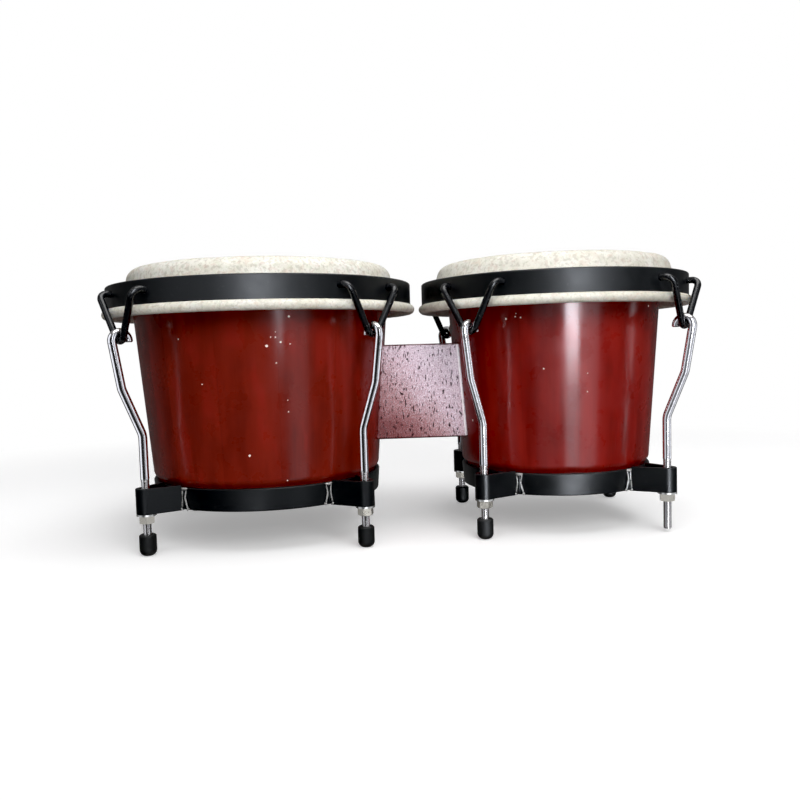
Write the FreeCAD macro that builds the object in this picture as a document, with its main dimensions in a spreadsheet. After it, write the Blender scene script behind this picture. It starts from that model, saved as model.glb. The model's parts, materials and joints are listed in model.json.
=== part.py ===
"""Pair of bongo drums, large drum at -X and small drum at +X, joined by a wooden centre block.

Units are millimetres. +Z is up and the front faces -Y. The origin is the centre of the
instrument's plan outline, on the plane the rubber rod tips stand on. Every tension lug is drawn
on the drum's local +X side and then turned about the drum axis to its place.
"""
import FreeCAD, Part
import math
import os
import Sketcher

V = FreeCAD.Vector
doc = FreeCAD.newDocument("bongo_drums")
sheet = doc.addObject("Spreadsheet::Sheet", "dims")

# ---------------------------------------------------------------- driving dimensions
CELLS = [
    # layout
    ("axis_spacing", 229.0),        # distance between the two drum axes
    # bottom rings and the shell foot they sit on
    ("ring_base", 30.0),            # underside of the rings above the standing plane
    ("ring_tall", 16.1),
    ("ring_wall", 3.6),
    ("ring_inset", 2.8),            # depth the shell foot is turned down to take the ring
    ("foot_shoulder", 4.0),         # height of the sloping shoulder above the ring
    # rod brackets on the bottom rings
    ("bracket_base", 29.6),
    ("bracket_tall", 18.0),
    ("bracket_wall", 2.9),
    ("bracket_nose", 6.8),          # outer radius of the loop around the rod
    ("bracket_foot", 13.6),         # half width where the bracket meets the ring
    ("bracket_lap", 0.5),           # start of the legs outside the foot radius
    # shells
    ("shell_base", 31.2),
    ("shell_crest", 202.1),         # bearing edge
    ("shell_datum", 175.0),         # height at which the neck radius is given
    ("shell_wall", 11.0),
    ("edge_flat", 2.2),
    ("edge_bevel", 5.0),
    ("edge_round", 7.8),
    ("large_shell_foot", 85.7),     # outer radius at ring_base
    ("large_shell_neck", 97.5),     # outer radius at shell_datum
    ("small_shell_foot", 71.8),
    ("small_shell_neck", 82.5),
    # rims
    ("rim_base", 173.2),
    ("rim_tall", 16.5),
    ("rim_wall", 3.0),
    ("large_rim", 116.0),
    ("small_rim", 103.4),
    # skins and flesh hoops
    ("skin_top", 203.3),
    ("skin_thick", 1.1),
    ("hoop_wire", 2.3),
    ("roll_bore", 2.4),             # inner radius of the skin rolled round the hoop
    ("roll_outer", 3.5),
    ("roll_height", 169.65),
    ("large_hoop", 115.6),
    ("small_hoop", 102.4),
    ("large_skin_edge", 99.4),
    ("large_skin_waist", 102.0),
    ("small_skin_edge", 88.2),
    ("small_skin_waist", 92.9),
    ("skin_waist_height", 188.0),
    ("skin_shoulder", 9.0),         # bend radius at the top edge
    ("skin_sweep", 12.0),           # bend radius at the waist
    # claw hooks that hang on the rims
    ("claw_wire", 2.4),             # wire radius
    ("claw_bore", 2.5),
    ("claw_half_span", 23.0),
    ("claw_height", 182.7),
    ("claw_inner_end", 4.4),        # depth the wire reaches in from the rim's outer face
    ("claw_stand_off", 6.5),        # distance from rim radius to the bent-down leg
    ("claw_bend", 5.6),
    ("claw_toe", 6.0),              # bend radius of the rounded toe
    ("catch_height", 149.4),        # wire centre at the toe
    ("catch_stand_off", 4.5),       # toe radius less rim radius
    # tension rods
    ("rod_radius", 3.0),
    ("rod_end", 2.4),
    ("rod_knee_low", 84.5),
    ("rod_knee_high", 117.0),
    ("rod_knee_step", 13.6),
    ("rod_knee_bend", 14.0),
    ("rod_crook", 5.9),             # centre line radius of the hooked top
    ("rod_beak", 0.8),              # depth the free end reaches below the crook centre
    ("rod_chamfer", 0.7),
    ("large_rod_circle", 107.6),
    ("small_rod_circle", 94.6),
    # tuning nuts and washers
    ("nut_flats", 10.0),
    ("nut_tall", 5.4),
    ("nut_bore", 3.05),
    ("washer_outer", 6.9),
    ("washer_bore", 3.3),
    ("washer_thick", 1.2),
    # rubber tips
    ("tip_radius", 5.9),
    ("tip_tall", 15.0),
    ("tip_bore", 3.03),
    ("tip_floor", 2.3),
    ("tip_round", 4.4),
    ("tip_lip", 0.9),
    # centre block
    ("block_base", 69.4),
    ("block_tall", 72.9),
    ("block_deep", 41.0),
    ("block_round", 1.6),
    ("block_lap_large", 8.0),       # blank length running into each shell before scribing
    ("block_lap_small", 12.0),
    ("scribe_gap", 0.06),
    # through bolts
    ("bolt_radius", 4.0),
    ("bolt_hole", 4.1),
    ("bolt_low", 87.5),
    ("bolt_high", 123.5),
    ("bolt_long", 100.0),
    ("bolt_flats", 13.0),
    ("bolt_head_tall", 5.3),
    ("bolt_nut_tall", 6.5),
    ("bolt_washer_outer", 8.5),
    ("bolt_washer_bore", 4.2),
    ("bolt_washer_thick", 1.6),
    ("spot_face", 10.0),
    ("spot_depth", 1.7),
    ("seat_gap", 0.05),
]
for row, (alias, number) in enumerate(CELLS, start=1):
    sheet.set("A%d" % row, alias)
    sheet.set("B%d" % row, repr(number))
    sheet.setAlias("B%d" % row, alias)
doc.recompute()

# proportions
CREST_INSET = 0.86          # bearing flat's inward shift, in edge rounds
LEDGE_GAPS = 4.0            # seat gaps between the ring and the shell shoulder
SHOULDER_ROUND = 1.2        # in shoulder heights
RING_ROUND = 0.28           # in ring walls
RIM_ROUND = 0.48            # in rim walls
NUT_FACE = 0.97             # flat end face of the nut, in half flats
NUT_CORNER = 1.16           # bevel blank's outer radius, in half flats
NUT_BEVEL = 0.11            # bevel height, in half flats
SKIN_WRAP = 290.0           # degrees of skin rolled round the hoop

# lengths by which cutting tools run past the material
TOOL_OVERRUN = 1.0
POCKET_OVERRUN = 5.0
SCRIBE_OVERRUN = 10.0
SEAT_OVERRUN = 2.0
BLOCK_BORE_LENGTH = 200.0

TOLERANCE = 1e-3            # for recognising edges

SIDES = {"large": -1.0, "small": 1.0}
LUGS = {"front_left": 225.0, "front_right": 315.0, "back_right": 45.0, "back_left": 135.0}
BOLT_LEVELS = ("low", "high")
UPRIGHT = FreeCAD.Rotation()
ALONG_X = FreeCAD.Rotation(V(0, 1, 0), 90)
PARTS = []                  # every finished piece


# ---------------------------------------------------------------- sizes
class Size:
    """A length that carries both its number and the spreadsheet formula it comes from."""

    def __init__(self, number, text):
        self.number = float(number)
        self.text = text

    @staticmethod
    def of(other):
        return other if isinstance(other, Size) else Size(other, repr(float(other)))

    def __add__(self, other):
        other = Size.of(other)
        return Size(self.number + other.number, "(%s + %s)" % (self.text, other.text))

    def __sub__(self, other):
        other = Size.of(other)
        return Size(self.number - other.number, "(%s - %s)" % (self.text, other.text))

    def __mul__(self, other):
        other = Size.of(other)
        return Size(self.number * other.number, "(%s * %s)" % (self.text, other.text))

    def __truediv__(self, other):
        other = Size.of(other)
        return Size(self.number / other.number, "(%s / %s)" % (self.text, other.text))

    def __neg__(self):
        return Size(0, "0") - self


def dim(alias):
    return Size(sheet.get(alias), "dims." + alias)


def num(alias):
    """Plain number of a driving dimension, for geometry worked out in Python."""
    return dim(alias).number


def axis_x(side):
    """Drum axis; the pair is shifted so that its plan outline is centred on the origin."""
    shift = (dim("large_hoop") - dim("small_hoop")) / 2.0
    return dim("axis_spacing") * (0.5 * SIDES[side]) + shift


def shell_radius(side, height):
    """Outer radius of a drum's tapered shell at a height."""
    foot, neck = dim(side + "_shell_foot"), dim(side + "_shell_neck")
    base = dim("ring_base")
    return foot + (neck - foot) * (Size.of(height) - base) / (dim("shell_datum") - base)


def foot_radius(side, height):
    """Radius of the turned-down foot that sits in the bottom ring."""
    return shell_radius(side, height) - dim("ring_inset")


def spot_reach(side, level):
    """Distance from the drum axis to a bolt's spot face inside the shell wall."""
    return shell_radius(side, dim("bolt_" + level)) - dim("shell_wall") + dim("spot_depth")


def hex_radius(flats):
    """Corner radius of a hexagon from its width across flats."""
    half = flats / 2.0
    return Size(half.number / math.cos(math.radians(30)), "(%s / cos(30deg))" % half.text)


# ---------------------------------------------------------------- placing and finishing
def bind(obj, sizes):
    """Tie properties to spreadsheet formulas; sizes maps property paths to sizes."""
    for path, size in sizes.items():
        obj.setExpression(path, Size.of(size).text)


def place(obj, x, turn=0.0):
    """Move an object to x and turn it about its own Z."""
    obj.Placement = FreeCAD.Placement(V(x.number, 0, 0), FreeCAD.Rotation(V(0, 0, 1), turn))
    # skins and claws hold fixed shapes, so only parametric objects follow the sheet
    if obj.TypeId != "Part::Feature":
        bind(obj, {"Placement.Base.x": x})


def finish(obj, label):
    obj.Label = label
    PARTS.append(obj)


def add_fixed_solid(label, solid):
    """Store a solid built in Python, with its faces turned outwards."""
    if solid.Volume < 0:
        solid.reverse()
    obj = doc.addObject("Part::Feature", label)
    obj.Shape = solid
    return obj


# ---------------------------------------------------------------- sketches
def origin_feature(body, role):
    return [f for f in body.Origin.OriginFeatures if f.Role == role][0]


def new_sketch(body, name, role, lift=None):
    sketch = body.newObject("Sketcher::SketchObject", name)
    sketch.AttachmentSupport = (origin_feature(body, role), "")
    sketch.MapMode = "FlatFace"
    if lift is not None:
        sketch.AttachmentOffset = FreeCAD.Placement(V(0, 0, lift.number), UPRIGHT)
        bind(sketch, {"AttachmentOffset.Base.z": lift})
    return sketch


def pin_point(sketch, geo, pos, x, y):
    """Fix one sketch point at formula-driven coordinates."""
    for kind, size, axis in (("DistanceX", x, -2), ("DistanceY", y, -1)):
        size = Size.of(size)
        if abs(size.number) < 1e-9:
            sketch.addConstraint(Sketcher.Constraint("PointOnObject", geo, pos, axis))
        else:
            constraint = Sketcher.Constraint(kind, -1, 1, geo, pos, size.number)
            index = sketch.addConstraint(constraint)
            bind(sketch, {"Constraints[%d]" % index: size})


def fix_radius(sketch, geo, radius):
    index = sketch.addConstraint(Sketcher.Constraint("Radius", geo, radius.number))
    bind(sketch, {"Constraints[%d]" % index: radius})


def polygon(sketch, points):
    """Closed straight-sided outline whose corners follow the sheet."""
    corners = [(Size.of(x), Size.of(y)) for x, y in points]
    count = len(corners)
    vectors = [V(x.number, y.number, 0) for x, y in corners]
    for i in range(count):
        sketch.addGeometry(Part.LineSegment(vectors[i], vectors[(i + 1) % count]), False)
    for i in range(count):
        sketch.addConstraint(Sketcher.Constraint("Coincident", i, 2, (i + 1) % count, 1))
    for i, (x, y) in enumerate(corners):
        pin_point(sketch, i, 1, x, y)


def circle(sketch, x, y, radius):
    x, y = Size.of(x), Size.of(y)
    shape = Part.Circle(V(x.number, y.number, 0), V(0, 0, 1), radius.number)
    geo = sketch.addGeometry(shape, False)
    pin_point(sketch, geo, 3, x, y)
    fix_radius(sketch, geo, radius)


# ---------------------------------------------------------------- PartDesign features
def new_body(name):
    return doc.addObject("PartDesign::Body", name)


def turned(body, name, points, kind="Revolution"):
    """Turn an (x, z) outline about the body's Z axis; kind "Groove" cuts instead of adding."""
    sketch = new_sketch(body, name + "_profile", "XZ_Plane")
    polygon(sketch, points)
    feature = body.newObject("PartDesign::" + kind, name)
    feature.Profile = sketch
    feature.ReferenceAxis = (sketch, ["V_Axis"])
    doc.recompute()


def pocket_plus_x(body, name, holes, reach):
    """Cut round (y, z, radius) holes from the drum axis outwards through the +X wall."""
    sketch = new_sketch(body, name + "_profile", "YZ_Plane")
    for y, z, radius in holes:
        circle(sketch, y, z, radius)
    pocket = body.newObject("PartDesign::Pocket", name)
    pocket.Profile = sketch
    pocket.Reversed = True      # a pocket runs against its sketch's normal, here +X
    bind(pocket, {"Length": reach})
    doc.recompute()
    return pocket


def dress_edges(body, kind, name, size, wanted):
    """Add a "Fillet" or "Chamfer" on the body's edges for which wanted(edge) holds."""
    base = body.Tip
    names = ["Edge%d" % i for i, edge in enumerate(base.Shape.Edges, start=1) if wanted(edge)]
    if not names:
        raise RuntimeError(name + " found no edge")
    feature = body.newObject("PartDesign::" + kind, name)
    feature.Base = (base, names)
    bind(feature, {"Radius" if kind == "Fillet" else "Size": size})
    doc.recompute()


def ring_edges(*rings, tolerance=0.05):
    """Test for circular edges that match one of the (radius, height) pairs."""
    def wanted(edge):
        if not isinstance(edge.Curve, Part.Circle):
            return False
        return any(abs(edge.Curve.Radius - radius.number) < tolerance
                   and abs(edge.Curve.Center.z - height.number) < tolerance
                   for radius, height in rings)
    return wanted


# ---------------------------------------------------------------- Part primitives
def primitive(kind, name, x, z, rotation=UPRIGHT, **sizes):
    obj = doc.addObject("Part::" + kind, name)
    obj.Placement = FreeCAD.Placement(V(0, 0, 0), rotation)
    bind(obj, {"Placement.Base.x": x, "Placement.Base.z": z})
    bind(obj, sizes)
    return obj


def hexagon(name, x, z, flats, height, rotation=UPRIGHT):
    prism = primitive("Prism", name, x, z, rotation,
                      Circumradius=hex_radius(flats), Height=height)
    prism.Polygon = 6
    return prism


def cut(name, base, tool):
    result = doc.addObject("Part::Cut", name)
    result.Base, result.Tool = base, tool
    return result


def compound(name, members):
    group = doc.addObject("Part::Compound", name)
    group.Links = members
    return group


# ---------------------------------------------------------------- wire path
def rounded_path(points, radii):
    """Straight runs joined by tangent bends; radii belong to the inner corners."""
    points = [V(*point) for point in points]
    path = []
    last = points[0]
    for before, corner, after, radius in zip(points, points[1:], points[2:], radii):
        back = (before - corner).normalize()
        ahead = (after - corner).normalize()
        half = math.acos(max(-1.0, min(1.0, back.dot(ahead)))) / 2.0
        reach = radius / math.tan(half)
        start, end = corner + back * reach, corner + ahead * reach
        bisector = (back + ahead).normalize()
        middle = corner + bisector * (radius / math.sin(half) - radius)
        if (start - last).Length > 1e-6:
            path.append(Part.LineSegment(last, start))
        path.append(Part.Arc(start, middle, end))
        last = end
    path.append(Part.LineSegment(last, points[-1]))
    return path


# ---------------------------------------------------------------- wooden shells
def make_shell(side):
    label = "shell_" + side
    body = new_body(label)
    crest, base, wall = dim("shell_crest"), dim("shell_base"), dim("shell_wall")
    bevel_base = crest - dim("edge_bevel")
    outer_top = shell_radius(side, crest)
    ledge = dim("ring_base") + dim("ring_tall") + dim("seat_gap") * LEDGE_GAPS
    shoulder = ledge + dim("foot_shoulder")
    shoulder_radius = shell_radius(side, shoulder)
    turned(body, "stave_wall", [
        (foot_radius(side, base), base),
        (foot_radius(side, ledge), ledge),
        (shoulder_radius, shoulder),
        (outer_top, crest),
        (outer_top - dim("edge_round") * CREST_INSET - dim("edge_flat"), crest),
        (shell_radius(side, bevel_base) - wall, bevel_base),
        (shell_radius(side, base) - wall, base),
    ])
    dress_edges(body, "Fillet", "shoulder_round", dim("foot_shoulder") * SHOULDER_ROUND,
                ring_edges((shoulder_radius, shoulder)))
    dress_edges(body, "Fillet", "bearing_round", dim("edge_round"),
                ring_edges((outer_top, crest)))
    pocket_plus_x(body, "bolt_bores",
                  [(0, dim("bolt_" + level), dim("bolt_hole")) for level in BOLT_LEVELS],
                  outer_top + POCKET_OVERRUN)
    for level in BOLT_LEVELS:
        pocket_plus_x(body, "spot_face_" + level,
                      [(0, dim("bolt_" + level), dim("spot_face"))], spot_reach(side, level))
    # the bores face the other drum
    place(body, axis_x(side), 0.0 if side == "large" else 180.0)
    finish(body, label)


# ---------------------------------------------------------------- bottom rings
def make_bottom_ring(side):
    label = "bottom_ring_" + side
    body = new_body(label)
    low, high = dim("ring_base"), dim("ring_base") + dim("ring_tall")
    gap, wall = dim("seat_gap"), dim("ring_wall")
    foot_low, foot_high = foot_radius(side, low), foot_radius(side, high)
    turned(body, "band", [
        (foot_low + gap, low),
        (foot_low + wall, low),
        (foot_high + wall, high),
        (foot_high + gap, high),
    ])
    dress_edges(body, "Fillet", "band_round", wall * RING_ROUND,
                ring_edges((foot_low + wall, low), (foot_high + wall, high)))
    place(body, axis_x(side))
    finish(body, label)


# ---------------------------------------------------------------- rod brackets
# ends that meet in the strap outline: geometry, end, geometry, end (1 is a start, 2 an end)
STRAP_JOINTS = [
    (0, 2, 1, 2), (1, 1, 2, 1), (2, 2, 3, 1), (3, 2, 4, 1),
    (4, 2, 5, 1), (5, 2, 6, 1), (6, 2, 7, 1), (7, 2, 0, 1),
]


def make_bracket(side, where, turn):
    """V-shaped strap from the ring round the rod."""
    label = "bracket_%s_%s" % (side, where)
    body = new_body(label)
    rod_circle = dim(side + "_rod_circle")
    rod_x = rod_circle.number
    foot_x = foot_radius(side, dim("ring_base")).number + num("bracket_lap")
    nose, wall, half = num("bracket_nose"), num("bracket_wall"), num("bracket_foot")

    # the +Y leg runs straight from the ring, tangent to the nose circle
    run = rod_x - foot_x
    angle = math.atan2(-half, run) + math.asin(nose / math.hypot(run, half))
    normal_x, normal_y = -math.sin(angle), math.cos(angle)
    normal_angle = math.atan2(normal_y, normal_x)
    inner_nose = nose - wall
    foot_out = (foot_x, half)
    foot_in = (foot_x, half - wall / math.cos(angle))
    touch_out = (rod_x + normal_x * nose, normal_y * nose)
    touch_in = (rod_x + normal_x * inner_nose, normal_y * inner_nose)

    def mirror(point):
        return (point[0], -point[1])

    def line(start, end):
        return Part.LineSegment(V(*start, 0), V(*end, 0))

    def nose_arc(radius):
        full = Part.Circle(V(rod_x, 0, 0), V(0, 0, 1), radius)
        return Part.ArcOfCircle(full, -normal_angle, normal_angle)

    sketch = new_sketch(body, "strap_profile", "XY_Plane", dim("bracket_base"))
    sketch.addGeometry([
        line(foot_out, touch_out),
        nose_arc(nose),
        line(mirror(touch_out), mirror(foot_out)),
        line(mirror(foot_out), mirror(foot_in)),
        line(mirror(foot_in), mirror(touch_in)),
        nose_arc(inner_nose),
        line(touch_in, foot_in),
        line(foot_in, foot_out),
    ], False)
    for joint in STRAP_JOINTS:
        sketch.addConstraint(Sketcher.Constraint("Coincident", *joint))
    outer_arc, inner_arc = 1, 5
    for arc, radius in ((outer_arc, dim("bracket_nose")),
                        (inner_arc, dim("bracket_nose") - dim("bracket_wall"))):
        fix_radius(sketch, arc, radius)
        pin_point(sketch, arc, 3, rod_circle, 0)
    pad = body.newObject("PartDesign::Pad", "strap")
    pad.Profile = sketch
    bind(pad, {"Length": dim("bracket_tall")})
    doc.recompute()

    # the feet are shaped to the tapered outside of the ring
    low = dim("ring_base") - TOOL_OVERRUN
    high = dim("ring_base") + dim("ring_tall") + SEAT_OVERRUN
    face = dim("ring_wall") + dim("seat_gap")
    core = 1.0                  # inner radius of the cut, well inside the feet
    turned(body, "ring_seat", [
        (core, low),
        (foot_radius(side, low) + face, low),
        (foot_radius(side, high) + face, high),
        (core, high),
    ], kind="Groove")
    place(body, axis_x(side), turn)
    finish(body, label)


# ---------------------------------------------------------------- rims
def make_rim(side):
    label = "rim_" + side
    body = new_body(label)
    outer, inner = dim(side + "_rim"), dim(side + "_rim") - dim("rim_wall")
    low, high = dim("rim_base"), dim("rim_base") + dim("rim_tall")
    turned(body, "band", [(inner, low), (outer, low), (outer, high), (inner, high)])
    dress_edges(body, "Fillet", "top_round", dim("rim_wall") * RIM_ROUND,
                ring_edges((outer, high)))
    span, height, bore = dim("claw_half_span"), dim("claw_height"), dim("claw_bore")
    holes = pocket_plus_x(body, "claw_holes", [(span, height, bore), (-span, height, bore)],
                          outer + POCKET_OVERRUN)
    pattern = body.newObject("PartDesign::PolarPattern", "claw_holes_around")
    pattern.Originals = [holes]
    pattern.Axis = (origin_feature(body, "Z_Axis"), [""])
    pattern.Angle = 360.0
    pattern.Occurrences = len(LUGS)
    body.Tip = pattern
    doc.recompute()
    # the first pair of holes comes to the back right lug
    place(body, axis_x(side), LUGS["back_right"])
    finish(body, label)


# ---------------------------------------------------------------- flesh hoops
def make_flesh_hoop(side):
    label = "flesh_hoop_" + side
    hoop = primitive("Torus", label, axis_x(side), dim("roll_height"),
                     Radius1=dim(side + "_hoop"), Radius2=dim("hoop_wire"))
    finish(hoop, label)


# ---------------------------------------------------------------- skins
def offset_corners(points, gap):
    """Corners of an open outline moved sideways (to the right of travel) by gap."""
    lines = []
    for (start_x, start_z), (end_x, end_z) in zip(points, points[1:]):
        step_x, step_z = end_x - start_x, end_z - start_z
        length = math.hypot(step_x, step_z)
        step_x, step_z = step_x / length, step_z / length
        shift_x, shift_z = step_z * gap, -step_x * gap
        lines.append(((start_x + shift_x, start_z + shift_z), (step_x, step_z),
                      (end_x + shift_x, end_z + shift_z)))
    corners = [lines[0][0]]
    for (here, along, _), (there, across, _) in zip(lines, lines[1:]):
        det = along[0] * across[1] - along[1] * across[0]
        apart_x, apart_z = there[0] - here[0], there[1] - here[1]
        travel = (apart_x * across[1] - apart_z * across[0]) / det
        corners.append((here[0] + along[0] * travel, here[1] + along[1] * travel))
    corners.append(lines[-1][2])
    return corners


def make_head(side):
    """Skin that runs down inside the hoop, then wraps under, outside and over it."""
    top, thick = num("skin_top"), num("skin_thick")
    hoop_x, hoop_z = num(side + "_hoop"), num("roll_height")
    bore, outer = num("roll_bore"), num("roll_outer")
    edge_x = num(side + "_skin_edge")
    waist_x, waist_z = num(side + "_skin_waist"), num("skin_waist_height")

    # straight run from the waist, tangent to the roll
    run, drop = hoop_x - waist_x, hoop_z - waist_z
    angle = math.atan2(drop, run) - math.asin(bore / math.hypot(run, drop))
    start = math.atan2(-math.cos(angle), math.sin(angle))   # from hoop centre to tangent point
    wrap = math.radians(SKIN_WRAP)

    def on_roll(radius, turn):
        return V(hoop_x + radius * math.cos(start + turn), 0,
                 hoop_z + radius * math.sin(start + turn))

    touch = on_roll(bore, 0)
    upper = [(0.0, top), (edge_x, top), (waist_x, waist_z), (touch.x, touch.z)]
    lower = offset_corners(upper, thick)
    shoulder, sweep = num("skin_shoulder"), num("skin_sweep")
    upper_path = rounded_path([(x, 0, z) for x, z in upper], [shoulder, sweep])
    lower_path = rounded_path([(x, 0, z) for x, z in lower], [shoulder - thick, sweep + thick])
    wrap_in = Part.Arc(touch, on_roll(bore, wrap / 2), on_roll(bore, wrap))
    wrap_out = Part.Arc(on_roll(outer, wrap), on_roll(outer, wrap / 2), on_roll(outer, 0))
    edges = [run.toShape() for run in upper_path]
    edges.append(wrap_in.toShape())
    edges.append(Part.makeLine(on_roll(bore, wrap), on_roll(outer, wrap)))
    edges.append(wrap_out.toShape())
    edges += [run.toShape() for run in reversed(lower_path)]
    edges.append(Part.makeLine(V(0, 0, top - thick), V(0, 0, top)))
    outline = Part.Wire(Part.__sortEdges__(edges))
    solid = Part.Face(outline).revolve(V(0, 0, 0), V(0, 0, 1), 360.0)

    label = "head_" + side
    head = add_fixed_solid(label, solid)
    place(head, axis_x(side))
    finish(head, label)


# ---------------------------------------------------------------- claw hooks
TOE_PASSES = 30             # repeats that settle the toe corner


def make_claw(side, where, turn):
    """Wire through two rim holes whose legs run down to a rounded V toe."""
    rim, span, top = num(side + "_rim"), num("claw_half_span"), num("claw_height")
    toe_radius, bend = num("claw_toe"), num("claw_bend")
    inner = math.sqrt(rim * rim - span * span) - num("claw_inner_end")
    leg = rim + num("claw_stand_off")
    catch, level = rim + num("catch_stand_off"), num("catch_height")

    # corner of the V that leaves the rounded toe at catch_height
    tip = level
    for _ in range(TOE_PASSES):
        half = math.atan2(span, top - tip)
        tip = level - toe_radius * (1.0 / math.sin(half) - 1.0)
    toe = catch - (leg - catch) * (level - tip) / (top - level)
    runs = rounded_path([
        (inner, span, top),
        (leg, span, top),
        (toe, 0, tip),
        (leg, -span, top),
        (inner, -span, top),
    ], [bend, toe_radius, bend])
    path = Part.Wire([run.toShape() for run in runs])
    section = Part.Wire(Part.makeCircle(num("claw_wire"), V(inner, span, top), V(1, 0, 0)))

    label = "claw_%s_%s" % (side, where)
    claw = add_fixed_solid(label, path.makePipeShell([section], True, False))
    place(claw, axis_x(side), turn)
    finish(claw, label)


# ---------------------------------------------------------------- tension rods
def make_rod(side, where, turn):
    """Bent bar with a crook at the top that hooks over the claw's toe."""
    label = "rod_%s_%s" % (side, where)
    body = new_body(label)
    foot_x, foot_z = num(side + "_rod_circle"), num("rod_end")
    knee_x, knee_z = foot_x + num("rod_knee_step"), num("rod_knee_high")
    crook_x, crook_z = num(side + "_rim") + num("catch_stand_off"), num("catch_height")
    crook, bend = num("rod_crook"), num("rod_knee_bend")
    crook_top, beak_z = crook_z + crook, crook_z - num("rod_beak")

    # straight shank from the upper knee, tangent to the outside of the crook
    run, rise = crook_x - knee_x, crook_z - knee_z
    lean = math.atan2(run, rise) + math.asin(crook / math.hypot(run, rise))
    path = rounded_path([
        (foot_x, foot_z, 0),
        (foot_x, num("rod_knee_low"), 0),
        (knee_x, knee_z, 0),
        (knee_x + math.tan(lean) * (crook_top - knee_z), crook_top, 0),
        (crook_x - crook, crook_top, 0),
        (crook_x - crook, beak_z, 0),
    ], [bend, bend, crook, crook])
    spine = new_sketch(body, "centre_line", "XZ_Plane")
    spine.addGeometry(path, False)
    for i in range(len(path)):
        spine.addConstraint(Sketcher.Constraint("Block", i))
    section = new_sketch(body, "section", "XY_Plane", dim("rod_end"))
    circle(section, dim(side + "_rod_circle"), 0, dim("rod_radius"))
    doc.recompute()
    pipe = body.newObject("PartDesign::AdditivePipe", "bent_bar")
    pipe.Profile = section
    pipe.Spine = (spine, ["Edge%d" % (i + 1) for i in range(len(path))])
    doc.recompute()

    def end_circle(edge):
        if not isinstance(edge.Curve, Part.Circle):
            return False
        box = edge.BoundBox
        return (abs(edge.Curve.Radius - num("rod_radius")) < TOLERANCE
                and abs(box.ZMax - box.ZMin) < TOLERANCE
                and any(abs(box.ZMax - z) < TOLERANCE for z in (foot_z, beak_z)))

    dress_edges(body, "Chamfer", "end_chamfers", dim("rod_chamfer"), end_circle)
    place(body, axis_x(side), turn)
    finish(body, label)


# ---------------------------------------------------------------- tuning nuts
def make_nut(side, where, turn):
    """Hexagon nut with bevelled corners, one washer below the bracket."""
    label = "nut_%s_%s" % (side, where)
    x, tall, half = dim(side + "_rod_circle"), dim("nut_tall"), dim("nut_flats") / 2.0
    z = dim("bracket_base") - dim("washer_thick") - dim("seat_gap") * 2.0 - tall
    face, corner, bevel_tall = half * NUT_FACE, half * NUT_CORNER, half * NUT_BEVEL
    bevel = new_body(label + "_bevel")
    turned(bevel, "bevel", [
        (0, z),
        (face, z),
        (corner, z + bevel_tall),
        (corner, z + tall - bevel_tall),
        (face, z + tall),
        (0, z + tall),
    ])
    place(bevel, x)
    blank = doc.addObject("Part::Common", label + "_blank")
    blank.Base = hexagon(label + "_flats", x, z, dim("nut_flats"), tall)
    blank.Tool = bevel
    hole = primitive("Cylinder", label + "_bore", x, z - TOOL_OVERRUN,
                     Radius=dim("nut_bore"), Height=tall + 2 * TOOL_OVERRUN)
    nut = cut(label, blank, hole)
    place(nut, axis_x(side), turn)
    finish(nut, label)


# ---------------------------------------------------------------- flat washers, four to a drum
def make_washers(side):
    label = "washers_" + side
    x, thick = dim(side + "_rod_circle"), dim("washer_thick")
    low = dim("bracket_base") - thick - dim("seat_gap")
    washers = []
    for turn in LUGS.values():
        disc = primitive("Cylinder", "washer_disc", x, low,
                         Radius=dim("washer_outer"), Height=thick)
        eye = primitive("Cylinder", "washer_eye", x, low - TOOL_OVERRUN,
                        Radius=dim("washer_bore"), Height=thick + 2 * TOOL_OVERRUN)
        washer = cut("washer", disc, eye)
        washer.Placement = FreeCAD.Placement(V(0, 0, 0), FreeCAD.Rotation(V(0, 0, 1), turn))
        washers.append(washer)
    pack = compound(label, washers)
    place(pack, axis_x(side))
    finish(pack, label)


# ---------------------------------------------------------------- rubber tips
def make_tip(side, where, turn):
    """Boot turned about its own axis, then carried out to the rod circle."""
    label = "tip_%s_%s" % (side, where)
    body = new_body(label)
    radius, bore, tall = dim("tip_radius"), dim("tip_bore"), dim("tip_tall")
    lip, floor = dim("tip_lip"), dim("tip_floor")
    turned(body, "boot", [
        (0, 0),
        (radius, 0),
        (radius, tall - lip),
        (radius - lip, tall),
        (bore + lip, tall),
        (bore, tall - lip),
        (bore, floor),
        (0, floor),
    ])
    dress_edges(body, "Fillet", "foot_round", dim("tip_round"),
                ring_edges((radius, Size.of(0.0))))
    angle, rod_circle = math.radians(turn), dim(side + "_rod_circle")
    place(body, axis_x(side) + rod_circle * math.cos(angle))
    bind(body, {"Placement.Base.y": rod_circle * math.sin(angle)})
    finish(body, label)


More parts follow.
